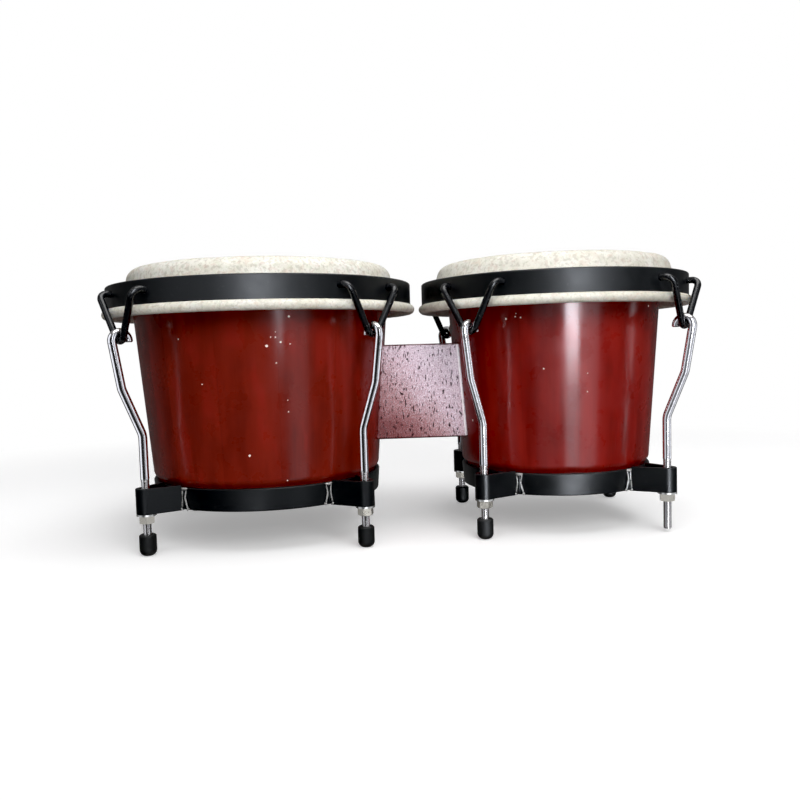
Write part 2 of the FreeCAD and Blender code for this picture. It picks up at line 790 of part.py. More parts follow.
# ---------------------------------------------------------------- centre block
def make_centre_block():
    """Block with soft long edges, its ends scribed to both shells, bored for the bolts."""
    base, tall, deep = dim("block_base"), dim("block_tall"), dim("block_deep")
    left = axis_x("large") + shell_radius("large", base) - dim("block_lap_large")
    right = axis_x("small") - shell_radius("small", base) + dim("block_lap_small")
    box = primitive("Box", "block_blank", left, base,
                    Length=right - left, Width=deep, Height=tall)
    bind(box, {"Placement.Base.y": -deep / 2.0})
    doc.recompute()
    soft = doc.addObject("Part::Fillet", "block_soft_edges")
    soft.Base = box
    soft.Edges = [(i, num("block_round"), num("block_round"))
                  for i, edge in enumerate(box.Shape.Edges, start=1)
                  if abs(edge.BoundBox.XLength - box.Length.Value) < TOLERANCE]
    doc.recompute()

    tools = []
    low, high = base - SCRIBE_OVERRUN, base + tall + SCRIBE_OVERRUN
    gap = dim("scribe_gap")
    for side in SIDES:
        tools.append(primitive("Cone", "scribe_" + side, axis_x(side), low,
                               Radius1=shell_radius(side, low) + gap,
                               Radius2=shell_radius(side, high) + gap,
                               Height=high - low))
    for level in BOLT_LEVELS:
        tools.append(primitive("Cylinder", "block_bore_" + level,
                               -BLOCK_BORE_LENGTH / 2, dim("bolt_" + level), ALONG_X,
                               Radius=dim("bolt_hole"), Height=BLOCK_BORE_LENGTH))
    voids = doc.addObject("Part::MultiFuse", "block_voids")
    voids.Shapes = tools
    finish(cut("centre_block", soft, voids), "centre_block")


# ---------------------------------------------------------------- through bolts of the block
def make_block_bolts():
    """Bolts with heads inside the large shell and nuts inside the small one."""
    bolts, washers, nuts = [], [], []
    gap, thick, flats = dim("seat_gap"), dim("bolt_washer_thick"), dim("bolt_flats")
    head_tall, nut_tall = dim("bolt_head_tall"), dim("bolt_nut_tall")
    for level in BOLT_LEVELS:
        z = dim("bolt_" + level)
        seat_large = axis_x("large") + spot_reach("large", level)
        seat_small = axis_x("small") - spot_reach("small", level)

        def cylinder(name, x, radius, height):
            return primitive("Cylinder", name, x, z, ALONG_X, Radius=radius, Height=height)

        under_head = seat_large - gap - thick - gap
        shank = cylinder("bolt_shank_" + level, under_head,
                         dim("bolt_radius"), dim("bolt_long"))
        head = hexagon("bolt_head_" + level, under_head - head_tall, z,
                       flats, head_tall, ALONG_X)
        bolt = doc.addObject("Part::MultiFuse", "bolt_" + level)
        bolt.Shapes = [head, shank]
        bolts.append(bolt)

        for x, tag in ((seat_large - gap - thick, "a"), (seat_small + gap, "b")):
            suffix = "%s_%s" % (level, tag)
            disc = cylinder("bolt_disc_" + suffix, x, dim("bolt_washer_outer"), thick)
            eye = cylinder("bolt_eye_" + suffix, x - TOOL_OVERRUN,
                           dim("bolt_washer_bore"), thick + 2 * TOOL_OVERRUN)
            washers.append(cut("bolt_washer_" + suffix, disc, eye))

        x = seat_small + gap + thick + gap
        blank = hexagon("bolt_nut_blank_" + level, x, z, flats, nut_tall, ALONG_X)
        eye = cylinder("bolt_nut_eye_" + level, x - TOOL_OVERRUN,
                       dim("bolt_radius") + gap, nut_tall + 2 * TOOL_OVERRUN)
        nuts.append(cut("bolt_nut_" + level, blank, eye))
    finish(compound("block_bolts", bolts), "block_bolts")
    finish(compound("block_bolt_washers", washers), "block_bolt_washers")
    finish(compound("block_bolt_nuts", nuts), "block_bolt_nuts")


# ---------------------------------------------------------------- assembly
for side in SIDES:
    make_shell(side)
    make_bottom_ring(side)
    make_rim(side)
    make_flesh_hoop(side)
    make_head(side)
    make_washers(side)
    for where, turn in LUGS.items():
        make_bracket(side, where, turn)
        make_claw(side, where, turn)
        make_rod(side, where, turn)
        make_nut(side, where, turn)
        # the small drum's front right rod has no tip
        if (side, where) != ("small", "front_right"):
            make_tip(side, where, turn)
make_centre_block()
make_block_bolts()

# ---------------------------------------------------------------- validation and export
doc.recompute()
failed = [obj.Name for obj in doc.Objects if "Invalid" in obj.State or "Error" in obj.State]
if failed:
    raise SystemExit("failed features: " + ", ".join(failed))
for part in PARTS:
    shape = part.Shape
    if shape.isNull() or not shape.isValid() or not shape.Solids:
        raise SystemExit("bad shape: " + part.Label)
    if any(solid.Volume <= 0 for solid in shape.Solids):
        raise SystemExit("inside-out solid: " + part.Label)
os.makedirs("parts", exist_ok=True)
for part in PARTS:
    part.Shape.exportStep(os.path.join("parts", part.Label + ".step"))
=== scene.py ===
import json
import math

import bmesh
import bpy
import numpy as np
from mathutils import Matrix, Vector, noise

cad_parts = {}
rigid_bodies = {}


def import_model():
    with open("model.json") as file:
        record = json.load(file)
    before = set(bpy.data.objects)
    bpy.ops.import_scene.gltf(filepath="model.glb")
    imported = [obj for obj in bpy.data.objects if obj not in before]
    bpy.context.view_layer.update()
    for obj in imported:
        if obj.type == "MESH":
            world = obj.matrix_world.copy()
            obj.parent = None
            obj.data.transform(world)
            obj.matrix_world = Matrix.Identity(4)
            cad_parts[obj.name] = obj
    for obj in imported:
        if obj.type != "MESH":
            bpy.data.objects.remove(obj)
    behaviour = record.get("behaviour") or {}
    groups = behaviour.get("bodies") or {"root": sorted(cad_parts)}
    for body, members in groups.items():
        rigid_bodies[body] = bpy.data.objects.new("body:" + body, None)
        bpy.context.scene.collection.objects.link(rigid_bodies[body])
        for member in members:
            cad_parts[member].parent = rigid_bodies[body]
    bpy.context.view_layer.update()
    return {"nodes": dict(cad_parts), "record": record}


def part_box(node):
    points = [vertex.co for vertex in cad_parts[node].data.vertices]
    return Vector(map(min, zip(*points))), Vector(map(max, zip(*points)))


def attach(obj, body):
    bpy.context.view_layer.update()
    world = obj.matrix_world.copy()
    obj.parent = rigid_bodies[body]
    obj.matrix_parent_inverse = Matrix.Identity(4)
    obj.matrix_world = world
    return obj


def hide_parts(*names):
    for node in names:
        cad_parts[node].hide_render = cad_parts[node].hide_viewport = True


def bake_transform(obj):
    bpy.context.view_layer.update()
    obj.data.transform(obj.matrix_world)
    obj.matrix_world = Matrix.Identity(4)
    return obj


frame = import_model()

SCENE = bpy.context.scene
NODES = frame["nodes"]
RECORD = frame["record"]
MM = 0.001

# ------------------------------------------------------------------ places read from the frame
SIDES = ("large", "small")
LUGS = {"front_left": 225.0, "front_right": 315.0, "back_right": 45.0, "back_left": 135.0}
BODY_OF = {}
for _b, _members in RECORD["behaviour"]["bodies"].items():
    for _n in _members:
        BODY_OF[_n] = _b


def mid(node):
    lo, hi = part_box(node)
    return (lo + hi) / 2, (hi - lo) / 2


AXIS, RIM_R, RIM_Z, HOOP_R, HOOP_Z, ROD_R, RING_R = {}, {}, {}, {}, {}, {}, {}
for side in SIDES:
    c, h = mid("rim_" + side)
    AXIS[side] = c.x / MM
    RIM_R[side] = h.x / MM
    RIM_Z[side] = (c.z - h.z) / MM
    c, h = mid("flesh_hoop_" + side)
    HOOP_R[side] = (h.x - h.z) / MM
    HOOP_Z[side] = c.z / MM
    c, h = mid("nut_%s_front_left" % side)
    ROD_R[side] = math.hypot(c.x / MM - AXIS[side], c.y / MM)
    RING_R[side] = mid("bottom_ring_" + side)[1].x / MM
SKIN_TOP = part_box("head_large")[1].z / MM
ROD_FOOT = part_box("rod_large_front_left")[0].z / MM
RING_LO, RING_HI = (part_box("bottom_ring_large")[i].z / MM for i in (0, 1))
BRACKET_LO, BRACKET_HI = (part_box("bracket_large_front_left")[i].z / MM for i in (0, 1))
SHELL_FOOT = {"large": 85.7, "small": 71.8}
SHELL_NECK = {"large": 97.5, "small": 82.5}


# ------------------------------------------------------------------ small geometry kit (millimetres in, metres out)
def fillet(pts, radii, step):
    """Points along straight runs joined by tangent bends, and the unit direction at each."""
    pts = [np.array(p, float) for p in pts]
    out, last = [], pts[0]

    def run(a, b, n_min=1):
        n = max(n_min, int(math.ceil(np.linalg.norm(b - a) / step)))
        for i in range(n):
            out.append(a + (b - a) * i / n)

    for k in range(1, len(pts) - 1):
        p, r = pts[k], radii[k - 1]
        u = pts[k - 1] - p
        w = pts[k + 1] - p
        u /= np.linalg.norm(u)
        w /= np.linalg.norm(w)
        half = math.acos(max(-1.0, min(1.0, float(u @ w)))) / 2
        reach = r / math.tan(half)
        bis = (u + w) / np.linalg.norm(u + w)
        centre = p + bis * (r / math.sin(half))
        a, b = p + u * reach, p + w * reach
        if np.linalg.norm(a - last) > 1e-6:
            run(last, a)
        sweep = math.pi - 2 * half
        n = max(6, int(math.ceil(sweep * r / (step * 0.6))))
        ea = (a - centre) / r
        eb = u * -1.0
        for i in range(n):
            t = sweep * i / n
            out.append(centre + r * (ea * math.cos(t) + eb * math.sin(t)))
        last = b
    run(last, pts[-1])
    out.append(pts[-1])
    return np.array(out)


def make(name, verts, faces, body=None, node=None, smooth=True):
    me = bpy.data.meshes.new(name)
    me.from_pydata([tuple(v) for v in verts], [], faces)
    me.validate()
    if smooth:
        me.polygons.foreach_set("use_smooth", [True] * len(me.polygons))
    me.update()
    o = bpy.data.objects.new(name, me)
    SCENE.collection.objects.link(o)
    if body:
        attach(o, body)
    if node:
        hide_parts(*([node] if isinstance(node, str) else node))
    return o


def grid_faces(rows, cols, wrap=True, offset=0):
    faces = []
    for i in range(rows - 1):
        a, b = offset + i * cols, offset + (i + 1) * cols
        for j in range(cols if wrap else cols - 1):
            k = (j + 1) % cols
            faces.append((a + j, a + k, b + k, b + j))
    return faces


def frames(path, up):
    """Tangent, normal and binormal along a path, with the twist kept least."""
    d = np.gradient(path, axis=0)
    tan = d / np.linalg.norm(d, axis=1)[:, None]
    nor = np.zeros_like(path)
    n = np.array(up, float)
    for i in range(len(path)):
        n = n - tan[i] * (n @ tan[i])
        n /= np.linalg.norm(n)
        nor[i] = n
    return tan, nor, np.cross(tan, nor)


def bar(path, radius, around, up=(0, 1, 0)):
    """Closed swept bar. radius(i, angles) gives the section's radius at path point i."""
    tan, nor, bi = frames(path, up)
    th = np.linspace(0, 2 * math.pi, around, endpoint=False)
    rows = []
    for i, p in enumerate(path):
        r = radius(i, th)
        rows.append(p + (nor[i][None] * np.cos(th)[:, None] + bi[i][None] * np.sin(th)[:, None]) * np.reshape(r, (-1, 1)))
    verts = np.concatenate(rows + [path[:1], path[-1:]])
    faces = grid_faces(len(path), around)
    a, b = len(path) * around, len(path) * around + 1
    last = (len(path) - 1) * around
    for j in range(around):
        k = (j + 1) % around
        faces.append((k, j, a))
        faces.append((last + j, last + k, b))
    return verts, faces


def turned(verts, side, turn):
    """Lug geometry drawn on local +X, moved to its place round a drum, in metres."""
    a = math.radians(turn)
    c, s = math.cos(a), math.sin(a)
    v = np.asarray(verts, float)
    return np.stack([AXIS[side] + v[:, 0] * c - v[:, 1] * s, v[:, 0] * s + v[:, 1] * c, v[:, 2]], 1) * MM


def n3(x, y, z):
    return noise.noise(Vector((x, y, z)))


def hash01(*k):
    return (math.sin(sum(v * w for v, w in zip(k, (12.9898, 78.233, 37.719, 4.581)))) * 43758.5453) % 1.0


# ------------------------------------------------------------------ node kit
def srgb(r, g, b):
    return tuple((v / 255 / 12.92) if v / 255 <= 0.04045 else ((v / 255 + 0.055) / 1.055) ** 2.4 for v in (r, g, b)) + (1.0,)


class Graph:
    def __init__(self, name):
        self.m = bpy.data.materials.new(name)
        self.m.use_nodes = True
        self.t = self.m.node_tree
        self.t.nodes.clear()
        self.out = self.t.nodes.new("ShaderNodeOutputMaterial")
        self.obj = self.t.nodes.new("ShaderNodeTexCoord").outputs["Object"]

    def put(self, sock, v):
        if isinstance(v, bpy.types.NodeSocket):
            self.t.links.new(v, sock)
        elif v is not None:
            sock.default_value = v

    def math(self, op, a, b=None, c=None, clamp=False):
        n = self.t.nodes.new("ShaderNodeMath")
        n.operation, n.use_clamp = op, clamp
        for i, v in enumerate((a, b, c)):
            self.put(n.inputs[i], v)
        return n.outputs[0]

    def vmath(self, op, a, b=None):
        n = self.t.nodes.new("ShaderNodeVectorMath")
        n.operation = op
        self.put(n.inputs[0], a)
        if op == "SCALE":
            self.put(n.inputs["Scale"], b)
        else:
            self.put(n.inputs[1], b)
        return n.outputs["Value"] if op in ("LENGTH", "DOT_PRODUCT", "DISTANCE") else n.outputs["Vector"]

    def sep(self, v):
        n = self.t.nodes.new("ShaderNodeSeparateXYZ")
        self.put(n.inputs[0], v)
        return n.outputs[0], n.outputs[1], n.outputs[2]

    def comb(self, x=0.0, y=0.0, z=0.0):
        n = self.t.nodes.new("ShaderNodeCombineXYZ")
        for i, v in enumerate((x, y, z)):
            self.put(n.inputs[i], v)
        return n.outputs[0]

    def scale(self, v, x, y, z):
        return self.vmath("MULTIPLY", v, (x, y, z))

    def noise(self, v, scale, detail=3.0, rough=0.5, distort=0.0, color=False):
        n = self.t.nodes.new("ShaderNodeTexNoise")
        self.put(n.inputs["Vector"], v)
        self.put(n.inputs["Scale"], scale)
        self.put(n.inputs["Detail"], detail)
        self.put(n.inputs["Roughness"], rough)
        self.put(n.inputs["Distortion"], distort)
        return n.outputs["Color" if color else "Fac"]

    def voronoi(self, v, scale, feature="F1", out="Distance", rand=1.0):
        n = self.t.nodes.new("ShaderNodeTexVoronoi")
        n.feature = feature
        self.put(n.inputs["Vector"], v)
        self.put(n.inputs["Scale"], scale)
        self.put(n.inputs["Randomness"], rand)
        return n.outputs[out]

    def white(self, v):
        n = self.t.nodes.new("ShaderNodeTexWhiteNoise")
        n.noise_dimensions = "1D"
        self.put(n.inputs["W"], v)
        return n.outputs["Value"]

    def ramp(self, fac, *stops):
        """stops are (position, number or colour)."""
        n = self.t.nodes.new("ShaderNodeValToRGB")
        self.put(n.inputs[0], fac)
        e = n.color_ramp.elements
        while len(e) > 1:
            e.remove(e[-1])
        for i, (p, v) in enumerate(stops):
            el = e[0] if i == 0 else e.new(p)
            el.position = p
            el.color = v if isinstance(v, tuple) else (v, v, v, 1.0)
        return n.outputs["Color"]

    def step(self, v, lo, hi):
        n = self.t.nodes.new("ShaderNodeMapRange")
        n.interpolation_type = "SMOOTHSTEP"
        self.put(n.inputs["Value"], v)
        n.inputs["From Min"].default_value = lo
        n.inputs["From Max"].default_value = hi
        return n.outputs["Result"]

    def range(self, v, lo, hi, a, b):
        n = self.t.nodes.new("ShaderNodeMapRange")
        self.put(n.inputs["Value"], v)
        for k, x in (("From Min", lo), ("From Max", hi), ("To Min", a), ("To Max", b)):
            self.put(n.inputs[k], x)
        return n.outputs["Result"]

    def mix(self, fac, a, b, kind="MIX"):
        n = self.t.nodes.new("ShaderNodeMix")
        n.data_type, n.blend_type = "RGBA", kind
        self.put(n.inputs["Factor"], fac)
        self.put(n.inputs["A"] if False else n.inputs[6], a)
        self.put(n.inputs[7], b)
        return n.outputs[2]

    def bump(self, height, distance, strength=1.0, normal=None):
        n = self.t.nodes.new("ShaderNodeBump")
        self.put(n.inputs["Height"], height)
        n.inputs["Distance"].default_value = distance
        n.inputs["Strength"].default_value = strength
        if normal is not None:
            self.put(n.inputs["Normal"], normal)
        return n.outputs[0]

    def edge(self, radius, lo=0.004, hi=0.06):
        """1 on convex and concave edges within radius, 0 on plain faces."""
        n = self.t.nodes.new("ShaderNodeBevel")
        n.samples = 4
        n.inputs["Radius"].default_value = radius
        g = self.t.nodes.new("ShaderNodeNewGeometry")
        dot = self.vmath("DOT_PRODUCT", n.outputs[0], g.outputs["Normal"])
        return self.step(self.math("SUBTRACT", 1.0, dot), lo, hi)

    def shy(self, lo, hi, much):
        """1 where the surface faces the eye, less where it is seen edge on."""
        n = self.t.nodes.new("ShaderNodeLayerWeight")
        n.inputs["Blend"].default_value = 0.5
        return self.math("SUBTRACT", 1.0, self.math("MULTIPLY", self.step(n.outputs["Facing"], lo, hi), much))

    def principled(self, **kw):
        n = self.t.nodes.new("ShaderNodeBsdfPrincipled")
        for k, v in kw.items():
            self.put(n.inputs[k.replace("_", " ")], v)
        self.t.links.new(n.outputs[0], self.out.inputs["Surface"])
        return n


# ------------------------------------------------------------------ materials
GLINTING_CHIPS = {"large": ((22.0, 128.0, 9.0, 26.0, 0.26), (2.0, 72.0, 5.0, 6.0, 0.30), (9.0, 100.0, 5.0, 14.0, 0.12)),
         "small": ((5.0, 56.0, 7.0, 5.0, 0.22), (-38.0, 158.0, 12.0, 8.0, 0.12), (30.0, 120.0, 30.0, 40.0, 0.010))}


def lacquered_wood(name, side, deep, lively):
    """Red-brown lacquered staves outside, bare wood inside; grain runs up the drum."""
    g = Graph(name)
    x, y, z = g.sep(g.obj)
    dx = g.math("SUBTRACT", x, AXIS[side] * MM)
    ang = g.math("ARCTAN2", y, dx)
    rad = g.math("SQRT", g.math("ADD", g.math("MULTIPLY", dx, dx), g.math("MULTIPLY", y, y)))
    ux = g.math("DIVIDE", dx, rad)
    uy = g.math("DIVIDE", y, rad)
    staves = 14 if side == "large" else 12
    pos = g.math("MULTIPLY", g.math("ADD", g.math("DIVIDE", ang, 2 * math.pi), 0.5), float(staves))
    which = g.math("FLOOR", pos)
    part = g.math("FRACT", pos)
    tone = g.white(g.math("ADD", which, 3.7 if side == "large" else 11.3))
    gap = g.math("MINIMUM", part, g.math("SUBTRACT", 1.0, part))
    seam = g.math("SUBTRACT", 1.0, g.step(gap, 0.0, 0.016))
    fibre_v = g.comb(g.math("MULTIPLY", ux, 0.09), g.math("MULTIPLY", uy, 0.09), g.math("MULTIPLY", z, 0.035))
    band_v = g.comb(g.math("MULTIPLY", ux, 0.09), g.math("MULTIPLY", uy, 0.09), g.math("MULTIPLY", z, 0.10))
    wavy = g.comb(g.math("MULTIPLY", ux, 0.09), g.math("MULTIPLY", uy, 0.09), g.math("ADD", g.math("MULTIPLY", z, 0.07), g.math("MULTIPLY", tone, 7.0)))
    figure = g.noise(wavy, 110.0, 3.0, 0.5, 0.15)
    bands = g.noise(band_v, 42.0, 2.0, 0.5)
    fibre = g.noise(fibre_v, 560.0, 2.0, 0.55)
    pores = g.step(g.noise(g.comb(g.math("MULTIPLY", ux, 0.09), g.math("MULTIPLY", uy, 0.09), g.math("MULTIPLY", z, 0.06)), 1100.0, 1.0, 0.4), 0.66, 0.78)
    f = g.math("ADD", g.math("MULTIPLY", bands, 0.55), g.math("ADD", g.math("MULTIPLY", figure, 0.30), g.math("MULTIPLY", tone, 0.07)))
    col = g.ramp(f, (0.28, deep), (0.46, tuple((a + b) / 2 for a, b in zip(deep, lively))), (0.66, lively))
    col = g.mix(g.math("MULTIPLY", g.math("SUBTRACT", fibre, 0.5), 0.40, clamp=False), col, srgb(176, 60, 36))
    col = g.mix(g.math("MULTIPLY", pores, 0.06), col, srgb(30, 4, 3))
    col = g.mix(g.math("MULTIPLY", seam, 0.16), col, srgb(60, 10, 6))
    # the stain took unevenly: tall soft patches, some deeper and some livelier
    stain = g.noise(g.comb(g.math("MULTIPLY", ux, 0.09), g.math("MULTIPLY", uy, 0.09), g.math("ADD", g.math("MULTIPLY", z, 0.30), 0.4)), 58.0, 3.0, 0.5, 0.3)
    col = g.mix(g.math("MULTIPLY", g.step(stain, 0.50, 0.70), 0.27), col, srgb(70, 14, 9))
    col = g.mix(g.math("MULTIPLY", g.math("SUBTRACT", 1.0, g.step(stain, 0.32, 0.48)), 0.40), col, srgb(178, 44, 34))
    # dust-size chips in the lacquer, gathered in a few places on the player's side; they glow faintly as a painted
    # glint
    cell = g.voronoi(g.obj, 330.0)
    pick = g.voronoi(g.obj, 330.0, out="Color")
    near = None
    for cx_, cz_, wx_, wz_, much in GLINTING_CHIPS[side]:
        ex = g.math("DIVIDE", g.math("SUBTRACT", dx, cx_ * MM), wx_ * MM)
        ez = g.math("DIVIDE", g.math("SUBTRACT", z, cz_ * MM), wz_ * MM)
        blob = g.math("MULTIPLY", much, g.math("EXPONENT", g.math("MULTIPLY", -1.0, g.math("ADD", g.math("MULTIPLY", ex, ex), g.math("MULTIPLY", ez, ez)))))
        near = blob if near is None else g.math("MAXIMUM", near, blob)
    chosen = g.math("GREATER_THAN", g.sep(pick)[0], g.math("SUBTRACT", 0.994, near))
    front = g.step(g.math("MULTIPLY", y, -1.0), 0.02, 0.04)
    chip_and_glint = g.math("MULTIPLY", g.math("MULTIPLY", g.math("LESS_THAN", cell, g.range(g.sep(pick)[1], 0.0, 1.0, 0.12, 0.30)), chosen), front)
    col = g.mix(chip_and_glint, col, srgb(255, 246, 240))
    # bare wood inside and underneath
    outer = g.range(z, 0.030, 0.175, (SHELL_FOOT[side] - 5.0) * MM, (SHELL_NECK[side] - 5.0) * MM)
    lacquer = g.math("MULTIPLY", g.step(g.math("SUBTRACT", rad, outer), -0.0004, 0.0004), g.step(z, 0.0312, 0.0318))
    bare = g.mix(g.noise(fibre_v, 700.0, 4.0, 0.6), srgb(122, 78, 52), srgb(170, 122, 84))
    bare = g.mix(g.math("MULTIPLY", seam, 0.55), bare, srgb(70, 40, 26))
    col = g.mix(lacquer, bare, col)
    flow = g.noise(g.obj, 260.0, 2.0, 0.5)
    hair = g.noise(g.scale(g.obj, 1.0, 1.0, 9.0), 420.0, 2.0, 0.6)
    rough = g.math("ADD", g.range(g.noise(g.obj, 60.0, 3.0, 0.6), 0.3, 0.7, 0.13, 0.24), g.math("MULTIPLY", chip_and_glint, 0.4))
    height = g.math("ADD", g.math("MULTIPLY", flow, 0.5), g.math("MULTIPLY", fibre, 0.25))
    coat_n = g.bump(height, 0.00004, 0.5)
    base_n = g.bump(g.math("SUBTRACT", g.math("ADD", fibre, g.math("MULTIPLY", seam, -0.8)), g.math("MULTIPLY", pores, 1.2)), 0.00008, 0.6)
    base_n = g.bump(g.math("MULTIPLY", chip_and_glint, -1.0), 0.0001, 0.8, base_n)
    # the chips' emission is a painted glint, not a lamp
    g.principled(Base_Color=col, Roughness=g.mix(lacquer, (0.72,) * 3 + (1,), g.math("ADD", g.math("MULTIPLY", rough, 1.6), g.math("MULTIPLY", hair, 0.04))),
                 Specular_IOR_Level=0.14, Normal=base_n, Emission_Color=srgb(255, 226, 216), Emission_Strength=g.math("MULTIPLY", chip_and_glint, 0.42),
                 Coat_Weight=g.math("MULTIPLY", g.math("MULTIPLY", lacquer, g.math("SUBTRACT", 1.0, chip_and_glint)), g.shy(0.45, 0.85, 0.9)), Coat_Roughness=rough, Coat_IOR=1.5, Coat_Normal=coat_n)
    return g.m


def block_wood(name):
    """Open-pored block, stained thinly; long pores stand upright on the broad faces."""
    g = Graph(name)
    x, y, z = g.sep(g.obj)
    grain_v = g.comb(x, g.math("MULTIPLY", y, 1.0), g.math("MULTIPLY", z, 0.10))
    warp = g.vmath("ADD", grain_v, g.vmath("SCALE", g.noise(g.obj, 30.0, 2.0, 0.5, color=True), 0.0025))
    lines = g.noise(warp, 420.0, 4.0, 0.6)
    broad = g.noise(g.comb(x, y, g.math("MULTIPLY", z, 0.45)), 46.0, 3.0, 0.55, 0.5)
    pores = g.step(g.noise(g.comb(x, y, g.math("MULTIPLY", z, 0.30)), 1050.0, 1.5, 0.45), 0.62, 0.68)
    short = g.step(g.noise(g.comb(x, y, g.math("MULTIPLY", z, 0.55)), 880.0, 2.0, 0.5), 0.58, 0.68)
    speck = g.noise(g.comb(x, y, g.math("MULTIPLY", z, 0.75)), 1500.0, 2.0, 0.6)
    # painted glare: the colour is paler towards the upper right and darker towards the lower left, as the front light's
    # sheen falls on the face
    lo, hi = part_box("centre_block")
    gx = g.range(x, lo.x, hi.x, 0.0, 1.0)
    gz = g.range(z, lo.z, hi.z, 0.0, 1.0)
    fade = g.math("ADD", g.math("MULTIPLY", gx, 0.62), g.math("MULTIPLY", gz, 0.66))
    fade = g.math("ADD", fade, g.math("MULTIPLY", g.math("SUBTRACT", broad, 0.5), 0.45))
    col = g.ramp(fade, (0.08, srgb(112, 42, 40)), (0.42, srgb(140, 74, 75)), (0.70, srgb(178, 136, 148)), (0.98, srgb(192, 163, 177)))
    col = g.mix(g.math("MULTIPLY", g.math("SUBTRACT", lines, 0.42), 0.60), col, srgb(120, 58, 64))
    # pale and dark specks gather where the painted glare is strongest: painted sparkle of the sheen
    rubbed = g.range(fade, 0.22, 0.62, 0.14, 0.46)
    col = g.mix(g.math("MULTIPLY", g.step(speck, 0.50, 0.66), rubbed), col, srgb(232, 212, 222))
    col = g.mix(g.math("MULTIPLY", g.math("SUBTRACT", 1.0, g.step(speck, 0.36, 0.48)), g.math("MULTIPLY", rubbed, 0.7)), col, srgb(110, 48, 56))
    col = g.mix(g.math("MULTIPLY", short, 0.40), col, srgb(92, 40, 50))
    col = g.mix(g.math("MULTIPLY", pores, 0.88), col, srgb(26, 7, 12))
    # painted highlight: a bright line down the front edge that meets the small drum, where its rounded edge catches the
    # light
    rad = g.range(z, 0.030, 0.176, SHELL_FOOT["small"] * MM, SHELL_NECK["small"] * MM)
    meet = g.math("SUBTRACT", AXIS["small"] * MM, g.math("SQRT", g.math("SUBTRACT", g.math("MULTIPLY", rad, rad), g.math("MULTIPLY", y, y))))
    off = g.math("ADD", g.math("SUBTRACT", meet, x), g.math("MULTIPLY", g.math("SUBTRACT", broad, 0.5), 0.0012))
    painted_edge_glint = g.math("MULTIPLY", g.step(off, 0.0006, 0.0009), g.math("SUBTRACT", 1.0, g.step(off, 0.0017, 0.0024)))
    painted_edge_glint = g.math("MULTIPLY", painted_edge_glint, g.step(g.math("ABSOLUTE", y), hi.y - 0.0008, hi.y - 0.0003))
    col = g.mix(g.math("MULTIPLY", painted_edge_glint, 0.85), col, srgb(250, 240, 240))
    e = g.edge(0.0016, 0.01, 0.14)
    col = g.mix(g.math("MULTIPLY", e, 0.75), col, srgb(92, 34, 38))
    end = g.step(g.math("ABSOLUTE", g.math("SUBTRACT", z, (lo.z + hi.z) / 2)), (hi.z - lo.z) / 2 - 0.0010, (hi.z - lo.z) / 2 - 0.0004)
    ends = g.mix(g.noise(g.scale(g.obj, 1.0, 1.6, 1.0), 520.0, 4.0, 0.6), srgb(84, 30, 30), srgb(122, 58, 54))
    col = g.mix(end, col, ends)
    rough = g.range(lines, 0.3, 0.7, 0.36, 0.52)
    n = g.bump(g.math("SUBTRACT", g.math("MULTIPLY", lines, 0.6), g.math("ADD", pores, g.math("MULTIPLY", short, 0.6))), 0.00022, 0.7)
    sheen = g.math("MULTIPLY", g.range(fade, 0.26, 0.70, 0.12, 1.0), g.math("SUBTRACT", 1.0, g.math("MULTIPLY", g.math("MAXIMUM", pores, g.math("MULTIPLY", short, 0.6)), 0.9)))
    g.principled(Base_Color=col, Roughness=rough, Normal=n, Specular_IOR_Level=g.math("MULTIPLY", g.range(fade, 0.20, 0.60, 0.10, 0.50), g.math("SUBTRACT", 1.0, pores)),
                 Coat_Weight=sheen, Coat_Roughness=0.22, Coat_Normal=g.bump(g.math("ADD", lines, g.noise(g.scale(g.obj, 1.0, 1.0, 0.3), 1500.0, 2.0, 0.6)), 0.00014, 0.7))
    return g.m


